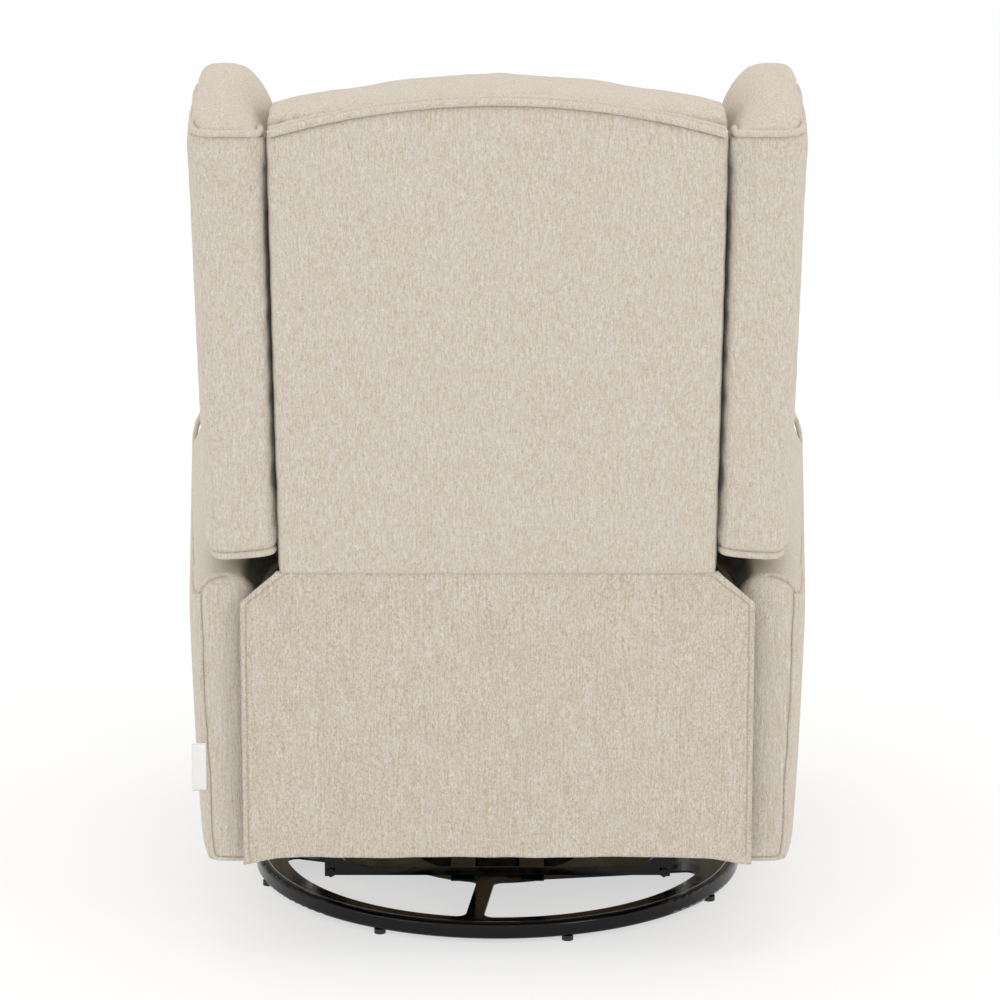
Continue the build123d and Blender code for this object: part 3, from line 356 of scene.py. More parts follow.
def settle(piece):
    """Turns a piece's live modifiers into a plain mesh."""
    shaped = piece.evaluated_get(bpy.context.evaluated_depsgraph_get())
    mesh = bpy.data.meshes.new_from_object(shaped)
    piece.modifiers.clear()
    old = piece.data
    piece.data = mesh
    bpy.data.meshes.remove(old)


def cover_of(name, node):
    """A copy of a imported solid's skin, merged, as the start of its cover."""
    bm = bmesh.new()
    bm.from_mesh(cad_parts[node].data)
    bmesh.ops.remove_doubles(bm, verts=bm.verts, dist=0.00001)
    return new_piece(name, bm)


def points_of(piece):
    flat = np.empty(len(piece.data.vertices) * 3)
    piece.data.vertices.foreach_get("co", flat)
    return flat.reshape(-1, 3)


def move_points(piece, points):
    piece.data.vertices.foreach_set("co", points.ravel())
    piece.data.update()


def normals_of(piece):
    flat = np.empty(len(piece.data.vertices) * 3)
    piece.data.vertices.foreach_get("normal", flat)
    return flat.reshape(-1, 3)


def upholster(piece, swell, grid=0.007, draw_in=0.001, soften=3, facing=None, pressure=4.0):
    """Gives the cover an even mesh, blows it up against its own cloth as foam does, and caps the swell.
    Where one side is facing out of the chair, the others, which the frame holds, swell far less."""
    even = piece.modifiers.new("even_mesh", "REMESH")
    even.mode = "VOXEL"
    even.voxel_size = grid
    ease = piece.modifiers.new("eased_edges", "SMOOTH")
    ease.factor = 0.5
    ease.iterations = soften
    settle(piece)
    start = points_of(piece) - normals_of(piece) * draw_in
    move_points(piece, start)
    cloth = piece.modifiers.new("filled_cover", "CLOTH")
    cloth.settings.quality = 3
    cloth.settings.mass = 0.3
    cloth.settings.tension_stiffness = 20
    cloth.settings.compression_stiffness = 20
    cloth.settings.bending_stiffness = 2
    cloth.settings.use_pressure = True
    cloth.settings.uniform_pressure_force = pressure
    cloth.settings.effector_weights.gravity = 0.0
    cloth.point_cache.frame_start = 1
    cloth.point_cache.frame_end = 18
    for step in range(1, 19):
        scene.frame_set(step)
    settle(piece)
    scene.frame_set(1)
    push = points_of(piece) - start
    reach = np.linalg.norm(push, axis=1, keepdims=True)
    allowed = swell
    if facing:
        outward = normals_of(piece) @ np.array(facing)
        allowed = swell * (0.15 + 0.85 * np.clip(outward, 0, 1)[:, None])
    limit = np.minimum(1.0, allowed / np.maximum(reach, 1e-9))
    move_points(piece, start + push * limit)
    fine = piece.modifiers.new("fine_mesh", "SUBSURF")
    fine.levels = fine.render_levels = 1
    settle(piece)
    smooth_shade(piece)


def smooth_shade(piece):
    for face in piece.data.polygons:
        face.use_smooth = True


def spaced(points, step):
    """The same path with even steps."""
    path = np.array(points, float)
    lengths = np.linalg.norm(np.diff(path, axis=0), axis=1)
    along = np.concatenate([[0.0], np.cumsum(lengths)])
    marks = np.linspace(0.0, along[-1], max(2, int(along[-1] / step)))
    return np.stack([np.interp(marks, along, path[:, k]) for k in range(3)], axis=1)


def laid_on(piece, points, lift=0.0, step=0.004):
    """A path brought onto a piece's surface, and lifted off it by a little."""
    bm = bmesh.new()
    bm.from_mesh(piece.data)
    tree = BVHTree.FromBMesh(bm)
    bm.free()
    found = []
    for point in spaced(points, step):
        place, normal, _, _ = tree.find_nearest(Vector(point))
        found.append(place + normal * lift)
    smooth = np.array(found)
    for _ in range(3):
        smooth[1:-1] = (smooth[:-2] + smooth[1:-1] * 2 + smooth[2:]) / 4
    return smooth


def sew(piece, paths, width=0.003, depth=0.0022, shadow=0.55):
    """Pulls a seam into the cover along each path, and marks it for painted shade in the weave's colour."""
    samples = np.concatenate([spaced(path, 0.001) for path in paths])
    near = KDTree(len(samples))
    for index, sample in enumerate(samples):
        near.insert(sample, index)
    near.balance()
    bm = bmesh.new()
    bm.from_mesh(piece.data)
    for reach in (width * 3.5, width * 2):
        close = {v for v in bm.verts if near.find(v.co)[2] < reach}
        edges = [e for e in bm.edges if e.verts[0] in close and e.verts[1] in close]
        bmesh.ops.subdivide_edges(bm, edges=edges, cuts=1, use_grid_fill=True)
    bm.normal_update()
    bm.to_mesh(piece.data)
    bm.free()
    points = points_of(piece)
    gap = np.array([near.find(point)[2] for point in points])
    pull = np.exp(-(gap / width) ** 2)
    # Painted shade along the seam, as wide as the shadow share of the seam's width
    shade_mark = piece.data.attributes.get("seam") or piece.data.attributes.new("seam", "FLOAT", "POINT")
    earlier = np.empty(len(points), np.float32)
    shade_mark.data.foreach_get("value", earlier)
    shade = np.exp(-(gap / (width * shadow)) ** 2).astype(np.float32)
    shade_mark.data.foreach_set("value", np.maximum(earlier, shade))
    move_points(piece, points - normals_of(piece) * (pull * depth)[:, None])
    smooth_shade(piece)


def eased(values, start, end):
    """0 before the start, 1 after the end, and a smooth rise between them."""
    share = np.clip((values - start) / (end - start), 0, 1)
    return share * share * (3 - 2 * share)


def paint_inner_shade(piece, amounts):
    """Paints shade, near black by the given amounts, on the sides of a cover that face into the chair."""
    shade_mark = piece.data.attributes.new("painted_gap_shade", "FLOAT", "POINT")
    shade_mark.data.foreach_set("value", np.asarray(amounts, np.float32))


def path_curve(name, points, closed):
    data = bpy.data.curves.new(name, "CURVE")
    data.dimensions = "3D"
    spline = data.splines.new("POLY")
    spline.points.add(len(points) - 1)
    for spot, point in zip(spline.points, points):
        spot.co = (*point, 1.0)
    spline.use_cyclic_u = closed
    curve = bpy.data.objects.new(name, data)
    scene.collection.objects.link(curve)
    return curve


def tree_with(name, sizes):
    """A geometry tree with named inputs for its sizes, a material and a result."""
    tree = bpy.data.node_groups.new(name, "GeometryNodeTree")
    tree.interface.new_socket("Path", in_out="INPUT", socket_type="NodeSocketGeometry")
    for size, value in sizes.items():
        tree.interface.new_socket(size, in_out="INPUT", socket_type="NodeSocketFloat").default_value = value
    tree.interface.new_socket("Finish", in_out="INPUT", socket_type="NodeSocketMaterial")
    tree.interface.new_socket("Result", in_out="OUTPUT", socket_type="NodeSocketGeometry")
    return tree, add(tree, "NodeGroupInput")


def end_tree(tree, entry, geometry):
    whole = add(tree, "GeometryNodeRealizeInstances", {"Geometry": geometry})
    dressed = add(tree, "GeometryNodeSetMaterial",
                  {"Geometry": whole.outputs[0], "Material": entry.outputs["Finish"]})
    add(tree, "NodeGroupOutput", {"Result": dressed.outputs[0]})


def run_tree(tree, curve, **values):
    """Runs a geometry tree on a path and leaves the result as a plain mesh piece."""
    live = curve.modifiers.new("made", "NODES")
    live.node_group = tree
    for item in tree.interface.items_tree:
        if item.in_out == "INPUT" and item.name in values:
            live[item.identifier] = values[item.name]
    bpy.context.view_layer.update()
    shaped = curve.evaluated_get(bpy.context.evaluated_depsgraph_get())
    mesh = bpy.data.meshes.new_from_object(shaped)
    name = curve.name
    curve_data = curve.data
    bpy.data.objects.remove(curve)
    bpy.data.curves.remove(curve_data)
    piece = bpy.data.objects.new(name, mesh)
    scene.collection.objects.link(piece)
    smooth_shade(piece)
    return piece


# The piping tree: a round cord covered in the weave, swept along a path, with closed ends
piping_tree, entry = tree_with("piping_along_path", {"Radius": 0.004})
ring = add(piping_tree, "GeometryNodeCurvePrimitiveCircle", {"Resolution": 14, "Radius": 1.0})
along = add(piping_tree, "GeometryNodeResampleCurve", {"Curve": entry.outputs["Path"], "Length": 0.003},
            mode="LENGTH")
spot = add(piping_tree, "GeometryNodeInputPosition")
uneven = noise_at(piping_tree, spot.outputs[0], 70.0, 1.0)
plump = add(piping_tree, "ShaderNodeMapRange",
            {"Value": uneven, "To Min": 0.86, "To Max": 1.14})
girth = maths(piping_tree, "MULTIPLY", entry.outputs["Radius"], plump.outputs["Result"])
swept = add(piping_tree, "GeometryNodeCurveToMesh",
            {"Curve": along.outputs[0], "Profile Curve": ring.outputs[0], "Scale": girth,
             "Fill Caps": True})
end_tree(piping_tree, entry, swept.outputs[0])


def piping(name, points, radius, body, closed=False):
    """Piping sewn along a path. It rides with the body that it is sewn to."""
    cord = run_tree(piping_tree, path_curve(name, points, closed), Radius=radius, Finish=weave)
    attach(cord, body)
    return cord


seat = cover_of("seat_cushion_cover", seat_node)
upholster(seat, seat_swell, facing=(0.0, -0.3, 0.95))
seat.data.materials.append(weave)
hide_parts(seat_node)
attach(seat, "seat")
seat_low, seat_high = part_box(seat_node)
seat_corner = 0.03


def rounded_loop(x0, x1, y0, y1, corner, z):
    """A level loop with rounded corners."""
    loop = []
    for cx, cy, turn in ((x1 - corner, y1 - corner, 0), (x0 + corner, y1 - corner, 1),
                         (x0 + corner, y0 + corner, 2), (x1 - corner, y0 + corner, 3)):
        for step in range(7):
            angle = (turn + step / 6) * pi / 2
            loop.append((cx + corner * cos(angle), cy + corner * sin(angle), z))
    loop.append(loop[0])
    return loop


seat_top_seam, seat_bottom_seam = seat_high.z - 0.024, seat_low.z + 0.012
for level, name in ((seat_top_seam, "seat_piping_top"), (seat_bottom_seam, "seat_piping_bottom")):
    loop = rounded_loop(seat_low.x, seat_high.x, seat_low.y, seat_high.y, seat_corner, level)
    piping(name, laid_on(seat, loop)[:-1], seat_piping_radius, "seat", closed=True)


# Front band.
# A strip of board in the same cloth, stapled across the front rail under the seat cushion.
# It hangs deeper between the footrest's links, so that nobody sees in over the footrest.

band = cover_of("front_band_cover", "front_band")
upholster(band, 0.0015, grid=0.003, draw_in=-0.001, soften=2)
band.data.materials.append(weave)
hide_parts("front_band")
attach(band, "seat")


# Arms.
# Each arm is a plywood board wrapped in foam: a flat inner side, a crowned outer side and a
# domed top that rises to the front. The rear end and the front face are sewn in as panels.

arm_inner_x, arm_bottom_z, arm_shoulder_z = 0.262, 0.116, 0.452
arm_rear_y, arm_body_front_y, arm_front_y = 0.356, -0.390, -0.402
arm_outer_x = (0.401, 0.356)      # front, rear
arm_foot_x = (0.397, 0.343)
arm_crown_z = (0.530, 0.477)
arm_swell = 0.005
arm_edge = 0.012
arm_rear_corner = 0.012           # how far the inner rear corner is rounded away
arm_rear_narrowing = 0.020        # the inner side gives way to the back frame towards the rear
arm_bulge = 0.002
welt_radius = 0.0026
face_piping_radius = 0.0036
arm_seam_z, arm_seam_run = 0.450, 0.735      # the seams between the dome and both sides, and their length


def arc(a, mid, b, count):
    """Points along the circle through three points of a plane, without the last."""
    (ax, ay), (mx, my), (bx, by) = a, mid, b
    d = 2 * (ax * (my - by) + mx * (by - ay) + bx * (ay - my))
    a2, m2, b2 = ax * ax + ay * ay, mx * mx + my * my, bx * bx + by * by
    cx = (a2 * (my - by) + m2 * (by - ay) + b2 * (ay - my)) / d
    cy = (a2 * (bx - mx) + m2 * (ax - bx) + b2 * (mx - ax)) / d
    r = hypot(ax - cx, ay - cy)
    start, middle, end = (atan2(y - cy, x - cx) for x, y in (a, mid, b))
    turn = (end - start) % (2 * pi)
    if (middle - start) % (2 * pi) > turn:
        turn -= 2 * pi
    angles = [start + turn * k / count for k in range(count)]
    return [(cx + r * cos(angle), cy + r * sin(angle)) for angle in angles]


def straight(a, b, count):
    return [(a[0] + (b[0] - a[0]) * k / count, a[1] + (b[1] - a[1]) * k / count) for k in range(count)]


def arm_ring(y, inset):
    """The arm's outline across the chair at one place along it."""
    share = (y - arm_front_y) / (arm_rear_y - arm_front_y)
    ends = (arm_outer_x, arm_foot_x, arm_crown_z)
    outer, foot, crown = (front + (rear - front) * share for front, rear in ends)
    turned_in = arm_rear_corner * max(0.0, 1 - (arm_rear_y - y) / arm_rear_corner) ** 2
    narrowing = min(1.0, max(0.0, (y - 0.16) / 0.12))
    turned_in += arm_rear_narrowing * narrowing ** 2 * (3 - 2 * narrowing)
    inner, outer, foot = arm_inner_x + inset + turned_in, outer - inset, foot - inset
    bottom, top = arm_bottom_z + inset, crown - inset
    middle = (inner + outer) / 2
    run, rise = middle - inner, top - arm_shoulder_z
    bulge = ((outer + foot) / 2 + arm_bulge, (arm_shoulder_z + bottom) / 2)
    outline = (
        straight((inner, bottom), (inner, arm_shoulder_z), 24)
        + arc((inner, arm_shoulder_z), (inner + run * 0.3, arm_shoulder_z + rise * 0.7), (middle, top), 8)
        + arc((middle, top), (outer - run * 0.3, arm_shoulder_z + rise * 0.7), (outer, arm_shoulder_z), 8)
        + arc((outer, arm_shoulder_z), bulge, (foot, bottom), 24)
        + straight((foot, bottom), (inner, bottom), 8)
    )
    return [(x, y, z) for x, z in outline]


def skin(name, rings):
    """A closed cover through rings of points, with both ends filled."""
    bm = bmesh.new()
    loops = [[bm.verts.new(point) for point in ring] for ring in rings]
    for one, two in zip(loops, loops[1:]):
        for k in range(len(one)):
            n = (k + 1) % len(one)
            bm.faces.new((one[k], one[n], two[n], two[k]))
    bm.faces.new(loops[0][::-1])
    bm.faces.new(loops[-1])
    bmesh.ops.recalc_face_normals(bm, faces=bm.faces)
    return new_piece(name, bm)


def other_side(piece, name):
    """The same piece on the sitter's right, with its faces turned to point outwards again."""
    bm = bmesh.new()
    bm.from_mesh(piece.data)
    for vertex in bm.verts:
        vertex.co.x = -vertex.co.x
    bmesh.ops.reverse_faces(bm, faces=bm.faces)
    twin = new_piece(name, bm)
    for material in piece.data.materials:
        twin.data.materials.append(material)
    smooth_shade(twin)
    return twin


arm = skin("arm_cover_left", [arm_ring(y, inset) for y, inset in (
    (arm_body_front_y, 0.0), (-0.2, 0.0), (0.0, 0.0), (0.16, 0.0), (0.20, 0.0), (0.24, 0.0), (0.28, 0.0),
    (arm_rear_y - 0.020, 0.0), (arm_rear_y - arm_edge, 0.0), (arm_rear_y - arm_edge / 3, 0.0005),
    (arm_rear_y, arm_edge / 4))])
upholster(arm, arm_swell, draw_in=0.0005, soften=2)


def rear_edge(z0, z1, x0, x1):
    return [(x0 + (x1 - x0) * k / 20, arm_rear_y, z0 + (z1 - z0) * k / 20) for k in range(21)]


# The rear panel's seam runs up the outer corner and over the dome, where it fades out
dome = [(x, arm_rear_y, z) for x, z in arc((0.353, 0.455), (0.343, 0.467), (0.312, 0.477), 12)]
corner = [(0.328 + 0.013 * sin(a), arm_rear_y, 0.132 - 0.014 * cos(a)) for a in np.linspace(0, pi / 2, 8)]
foot_seam = [(0.292, arm_rear_y, 0.118), (0.328, arm_rear_y, 0.118)]
arm_rear_seam = laid_on(arm, foot_seam + corner + rear_edge(0.141, 0.45, 0.343, 0.355) + dome)
back_to_front = [(k / 30, arm_rear_y - arm_seam_run * k / 30) for k in range(31)]
arm_top_seam = laid_on(arm, [(0.356 + 0.044 * share, y, arm_seam_z) for share, y in back_to_front])
arm_inner_seam = laid_on(arm, [(arm_inner_x, y, arm_seam_z - 0.002) for _, y in back_to_front])
sew(arm, [arm_rear_seam, arm_top_seam, arm_inner_seam])
arm.data.materials.append(weave)
spots, outward = points_of(arm), normals_of(arm)
# Painted shade, near black, on the inner side and inner dome, which the backrest hides. The rear rim keeps
# its cloth
behind_seat = eased(spots[:, 1], 0.08, 0.14) * eased(-spots[:, 1], -0.350, -0.336)
inner_side = eased(-outward[:, 0], 0.90, 0.98) * eased(-spots[:, 2], -0.464, -0.452)
inner_dome = eased(-spots[:, 0], -0.304, -0.292) * eased(spots[:, 2], 0.440, 0.452)
paint_inner_shade(arm, behind_seat * np.maximum(inner_side, inner_dome))
arm_right = other_side(arm, "arm_cover_right")

arm_face = cover_of("arm_face_cover_left", "arm_face_left")
upholster(arm_face, 0.003, grid=0.005, draw_in=0.0, soften=1)
arm_face.data.materials.append(weave)
arm_face_right = other_side(arm_face, "arm_face_cover_right")

for side, pad, face in (("left", arm, arm_face), ("right", arm_right, arm_face_right)):
    for piece, node in ((pad, f"arm_pad_{side}"), (face, f"arm_face_{side}")):
        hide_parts(node)
        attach(piece, "seat")

front_loop = [(x, arm_body_front_y - 0.001, z) for x, _, z in arm_ring(arm_body_front_y, -0.001)]
front_loop = spaced(front_loop + front_loop[:1], 0.004)[:-1]
rear_welt = arm_rear_seam[arm_rear_seam[:, 2] < arm_shoulder_z]
for side, sign in (("left", 1), ("right", -1)):
    mirror = np.array([sign, 1, 1])
    piping(f"arm_face_piping_{side}", front_loop * mirror, face_piping_radius, "seat", closed=True)
    piping(f"arm_rear_welt_{side}", rear_welt * mirror, welt_radius, "seat")

finish_nodes(birch_plywood("birch_plywood", "Y"), "arm_boards")
finish_nodes(zinc, "arm_bolts")


# Blank tag.
# A small folded tag of white woven tape, sewn into the left arm's rear outer seam.
# It is left blank.

def woven_tape(name, light="#F4F3F0", dark="#DAD8D4", thread=0.0006):
    """White woven polyester tape: fine even ribs with a slight satin."""
    material, tree = new_material(name)
    place = add(tree, "ShaderNodeTexCoord")
    ribs = add(tree, "ShaderNodeTexWave", {"Vector": place.outputs["Object"], "Scale": 1 / thread / 6.3,
                                           "Distortion": 0.6}, bands_direction="Z")
    tone = mixed(tree, ribs.outputs["Fac"], dark, light)
    bump = add(tree, "ShaderNodeBump", {"Height": ribs.outputs["Fac"], "Strength": 0.3, "Distance": 0.0002})
    close_material(tree, add(tree, "ShaderNodeBsdfPrincipled",
                             {"Base Color": tone, "Roughness": 0.6,
                              "Normal": bump.outputs["Normal"]}))
    return material


tape = woven_tape("white_woven_tape")
tag_low, tag_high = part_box("blank_tag")
tag_out = 0.003                   # how far its fold stands proud


def tag_mesh():
    """A folded strip that curls slightly away from the arm."""
    bm = bmesh.new()
    columns, rows = 8, 16
    grid = []
    for r in range(rows + 1):
        z = tag_low.z + (tag_high.z - tag_low.z) * r / rows
        line = []
        for c in range(columns + 1):
            share = c / columns
            x = tag_low.x + tag_out * share + (tag_high.x - tag_low.x) * share
            y = tag_high.y + 0.0035 * share ** 2 + 0.0008 * sin(r * 0.7) * share
            line.append(bm.verts.new((x, y, z)))
        grid.append(line)
    for r in range(rows):
        for c in range(columns):
            bm.faces.new((grid[r][c], grid[r][c + 1], grid[r + 1][c + 1], grid[r + 1][c]))
    bmesh.ops.recalc_face_normals(bm, faces=bm.faces)
    return new_piece("blank_tag_tape", bm)


tag = tag_mesh()
thick = tag.modifiers.new("tape_thickness", "SOLIDIFY")
thick.thickness = 0.001
thick.offset = 0.0
settle(tag)
tag.data.materials.append(tape)
smooth_shade(tag)
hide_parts("blank_tag")
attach(tag, "seat")


# Back frame.
# Two pine posts and two rails with elastic webbing stretched between them.
# Steel hinge arms at the foot of the posts turn on the side plates.

def elastic_webbing(name, light="#3A3A3D", dark="#222225", rib=0.003):
    """Black elastic webbing: a coarse ribbed band with a dull rubbery thread."""
    material, tree = new_material(name)
    place = add(tree, "ShaderNodeTexCoord")
    ribs = add(tree, "ShaderNodeTexWave", {"Vector": place.outputs["Object"], "Scale": 1 / rib / 6.3,
                                           "Distortion": 0.4}, bands_direction="Z")
    tone = mixed(tree, ribs.outputs["Fac"], dark, light)
    bump = add(tree, "ShaderNodeBump", {"Height": ribs.outputs["Fac"], "Strength": 0.5, "Distance": 0.0006})
    close_material(tree, add(tree, "ShaderNodeBsdfPrincipled",
                             {"Base Color": tone, "Roughness": 0.8,
                              "Normal": bump.outputs["Normal"]}))
    return material


finish_nodes(sawn_pine("sawn_pine_upright", "Z"), "back_posts")
finish_nodes(sawn_pine("sawn_pine_across_back", "X"), "back_rails")
finish_nodes(elastic_webbing("elastic_webbing"), "back_webbing")
finish_nodes(black_coat, "hinge_arms")


# Back cushion.
# The inside back: foam with a full lumbar, in one cover that wraps over the top as a band.
# A deep seam crosses it below the headrest.

back_foot = (0.372, 0.480)
back_lean = radians(7.24)
back_swell = 0.010
back_splay = 0.021
band_end_lift = 0.0185            # the band keeps its full height at both ends
band_middle_drop = 0.0055


def splayed(x, z):
    """The back widens a little towards its top."""
    return x * (1 + back_splay * np.clip(z / 0.54, 0, 1))


def leaned(points):
    """Backrest places, from its own upright frame to the chair's."""
    turned = []
    for x, y, z in points:
        turned.append((x, back_foot[0] + y * cos(back_lean) + z * sin(back_lean),
                       back_foot[1] - y * sin(back_lean) + z * cos(back_lean)))
    return turned


back = cover_of("back_cushion_cover", "back_cushion")
upholster(back, back_swell, draw_in=0.0, soften=1, facing=(0.0, -1.0, 0.0))
spots = points_of(back)
upright = ((spots[:, 1] - back_foot[0]) * sin(back_lean) + (spots[:, 2] - back_foot[1]) * cos(back_lean))
in_band = np.clip((upright - 0.42) / 0.10, 0, 1)
lift = band_end_lift * np.clip(np.abs(spots[:, 0]) / 0.25, 0, 1) ** 4.5 - band_middle_drop
spots[:, 2] += lift * in_band
spots[:, 0] = splayed(spots[:, 0], upright)
move_points(back, spots)
head_seam = laid_on(back, leaned([(-0.25 + 0.5 * k / 40, -0.30, 0.30) for k in range(41)]))
sew(back, [head_seam], width=0.006, depth=0.006)
back.data.materials.append(weave)
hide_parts("back_cushion")
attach(back, "backrest")


# Outside back.
# The outside back panel: cloth over a thin layer of foam on the posts, with softened edges.
# A thick piping follows its arched top, where it meets the band of the inside back.

panel_half, panel_side_z, panel_crown_z = 0.256, 0.537, 0.576
panel_piping_radius = 0.0045
panel_foot_drop = 0.0055          # its padding hangs a little below the board

panel = cover_of("back_panel_cover", "back_panel")
upholster(panel, 0.0025, draw_in=0.0, soften=1, facing=(0.0, 1.0, 0.0))
spots = points_of(panel)
upright = (spots[:, 1] - back_foot[0]) * sin(back_lean) + (spots[:, 2] - back_foot[1]) * cos(back_lean)
spots[:, 2] -= panel_foot_drop * np.clip(1 - upright / 0.05, 0, 1)
spots[:, 0] = splayed(spots[:, 0], upright)
move_points(panel, spots)
arch = arc((-panel_half, panel_side_z), (0.0, panel_crown_z), (panel_half, panel_side_z), 120)
arch_path = spaced(leaned([(splayed(x, z), -0.001, z - 0.006) for x, z in arch[1:]]), 0.004)
panel_foot_seam = laid_on(panel, leaned([(-0.250 + 0.5 * k / 60, 0.002, -0.0035) for k in range(61)]))
sew(panel, [arch_path], width=0.006, depth=0.003, shadow=0.9)
sew(panel, [panel_foot_seam], width=0.0028, depth=0.002, shadow=0.15)
panel.data.materials.append(weave)
# Painted shade, three quarters of the way to near black, on the panel's sides where they face the wings
paint_inner_shade(panel, 0.75 * eased(np.abs(normals_of(panel)[:, 0]), 0.80, 0.97))
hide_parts("back_panel")
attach(panel, "backrest")

piping("back_panel_piping", arch_path, panel_piping_radius, "backrest")


# Wings.
# Each wing is a board wrapped in thick foam, rounded outside and domed on top, where the dome
# falls away to the inside. Piping crosses its rear face at the top and at the foot.

wing_inner_x, wing_outer_x_top, wing_outer_x_foot = 0.2575, 0.345, 0.334
wing_foot_drop = (0.006, 0.010)    # inner, outer
wing_height, wing_dome, wing_setback, wing_depth = 0.539, 0.568, 0.145, 0.300
wing_foot_rear, wing_foot_front, wing_foot_depth = 0.022, 0.006, 0.224
wing_edge = 0.020
wing_swell = 0.005
wing_inner_fall = 0.052
wing_piping_radius = 0.0042


def wing_outline():
    """The wing from the side, as (y, z): upright rear, domed top, and a front swept to the arm."""
    dome = (-wing_setback, wing_dome)
    brow = (-wing_depth + wing_edge / 2, wing_dome * 0.87)
    cheek = (-wing_depth + wing_edge / 2, wing_dome * 0.64)
    foot = (-wing_foot_depth, wing_foot_front)
    return (
        straight((0.0, wing_foot_rear), (0.0, wing_height), 60)
        + arc((0.0, wing_height), (dome[0] * 0.45, wing_height + (wing_dome - wing_height) * 0.72), dome, 18)
        + arc(dome, (dome[0] + (brow[0] - dome[0]) * 0.62, dome[1] - (dome[1] - brow[1]) * 0.3), brow, 20)
        + arc(brow, (-wing_depth, (brow[1] + cheek[1]) / 2), cheek, 16)
        + arc(cheek, ((cheek[0] + foot[0]) / 2 + wing_edge / 2, (cheek[1] + foot[1]) / 2), foot, 40)
        + straight(foot, (0.0, wing_foot_rear), 24)
    )


def drawn_in(outline, inset):
    """An outline moved inwards by the same distance all round."""
    line = np.array(outline)
    ahead, behind = np.roll(line, -1, axis=0), np.roll(line, 1, axis=0)
    along = ahead - behind
    along /= np.linalg.norm(along, axis=1, keepdims=True)
    inward = np.stack([-along[:, 1], along[:, 0]], axis=1)
    middle = line.mean(axis=0)
    if np.sum((middle - line) * inward) < 0:
        inward = -inward
    return line + inward * inset


def wing_ring(x_share, inset):
    ring = []
    for y, z in drawn_in(wing_outline(), inset):
        outer = wing_outer_x_foot + (wing_outer_x_top - wing_outer_x_foot) * z / wing_height
        forward = min(1.0, max(0.0, -y / 0.09))
        upper = min(1.0, max(0.0, (z - 0.40) / 0.14))
        low = max(0.0, 1 - z / 0.09)
        inner = splayed(wing_inner_x, z)
        z -= (wing_foot_drop[0] + (wing_foot_drop[1] - wing_foot_drop[0]) * x_share) * low
        fall = wing_inner_fall * forward * upper * max(0.0, 1 - x_share / 0.5) ** 2
        ring.append((inner + (outer - inner) * x_share, y, z - fall))
    return leaned(ring)


wing_steps = ((0.0, 0.012), (0.03, 0.005), (0.08, 0.001), (0.16, 0.0), (0.35, 0.0), (0.55, 0.0),
              (0.80, 0.0), (0.88, 0.0008), (0.93, 0.0025), (0.965, 0.006), (0.985, 0.010), (1.0, 0.017))
wing = skin("wing_cover_left", [wing_ring(share, inset) for share, inset in wing_steps])
upholster(wing, wing_swell, grid=0.006, draw_in=-0.001, soften=2)


def round_the_wing(z, inner_drop, outer_x, corner, ahead):
    """A path from the wing's inner side, across its rear and round its outer corner, at one height."""
    inner = splayed(wing_inner_x, z)
    start = [(inner, -0.030, z), (inner, -0.010, z), (inner + 0.003, -0.002, z)]
    rear = [(inner + 0.010 + (outer_x - corner - inner - 0.010) * k / 16, 0.002, z - inner_drop * k / 16)
            for k in range(17)]
    turn = [(outer_x - corner + corner * sin(a), -corner + corner * cos(a), z - inner_drop)
            for a in np.linspace(0.2, pi / 2, 8)]
    side = [(outer_x, -corner - ahead * k / 6, z - inner_drop) for k in range(1, 7)]
    return leaned(start + rear + turn + side)


wing_top_path = round_the_wing(wing_height - 0.004, 0.0, wing_outer_x_top, 0.020, 0.012)
wing_foot_path = round_the_wing(0.025, 0.007, 0.335, 0.018, 0.10)
wing_top_seam = laid_on(wing, wing_top_path)
wing_foot_seam = laid_on(wing, wing_foot_path)
outer_line = drawn_in(wing_outline(), 0.022)
from_the_foot = np.roll(outer_line, -64, axis=0)[:112]      # up the front and over the dome
wing_side_seam = laid_on(wing, leaned([(wing_outer_x_top, y, z) for y, z in from_the_foot]))
sew(wing, [wing_side_seam], depth=0.002)
sew(wing, [wing_top_seam, wing_foot_seam], width=0.0055, depth=0.0025, shadow=0.9)
wing.data.materials.append(weave)
spots = points_of(wing)
behind = (spots[:, 1] - back_foot[0]) * cos(back_lean) - (spots[:, 2] - back_foot[1]) * sin(back_lean)
# Painted shade, three quarters of the way to near black, on the rear part of the wing's inner side beside
# the panel
paint_inner_shade(wing, 0.75 * eased(-normals_of(wing)[:, 0], 0.80, 0.97) * eased(behind, -0.045, -0.025))
wing_right = other_side(wing, "wing_cover_right")
for side, sign, pad in (("left", 1, wing), ("right", -1, wing_right)):
    mirror = np.array([sign, 1, 1])
    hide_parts(f"wing_pad_{side}")
    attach(pad, "backrest")
    piping(f"wing_top_piping_{side}", wing_top_seam * mirror, wing_piping_radius, "backrest")
    piping(f"wing_foot_piping_{side}", wing_foot_seam * mirror, wing_piping_radius, "backrest")
finish_nodes(birch_plywood("birch_plywood_upright", "Z"), "wing_boards")
finish_nodes(black_coat, "wing_bolts")


# Rear flap.
# A hemmed sheet of the same cloth that hangs from the foot of the outside back and hides the
# mechanism. It is cut in at the shoulders, topstitched, and hangs in shallow upright folds.

flap_half, flap_bottom, flap_shoulder, flap_top, flap_top_half = 0.300, 0.133, 0.445, 0.482, 0.257
flap_y = 0.3695
flap_hem = 0.0065
flap_cloth = 0.0022
stitch_length = 0.0034
thread_radius = 0.00045

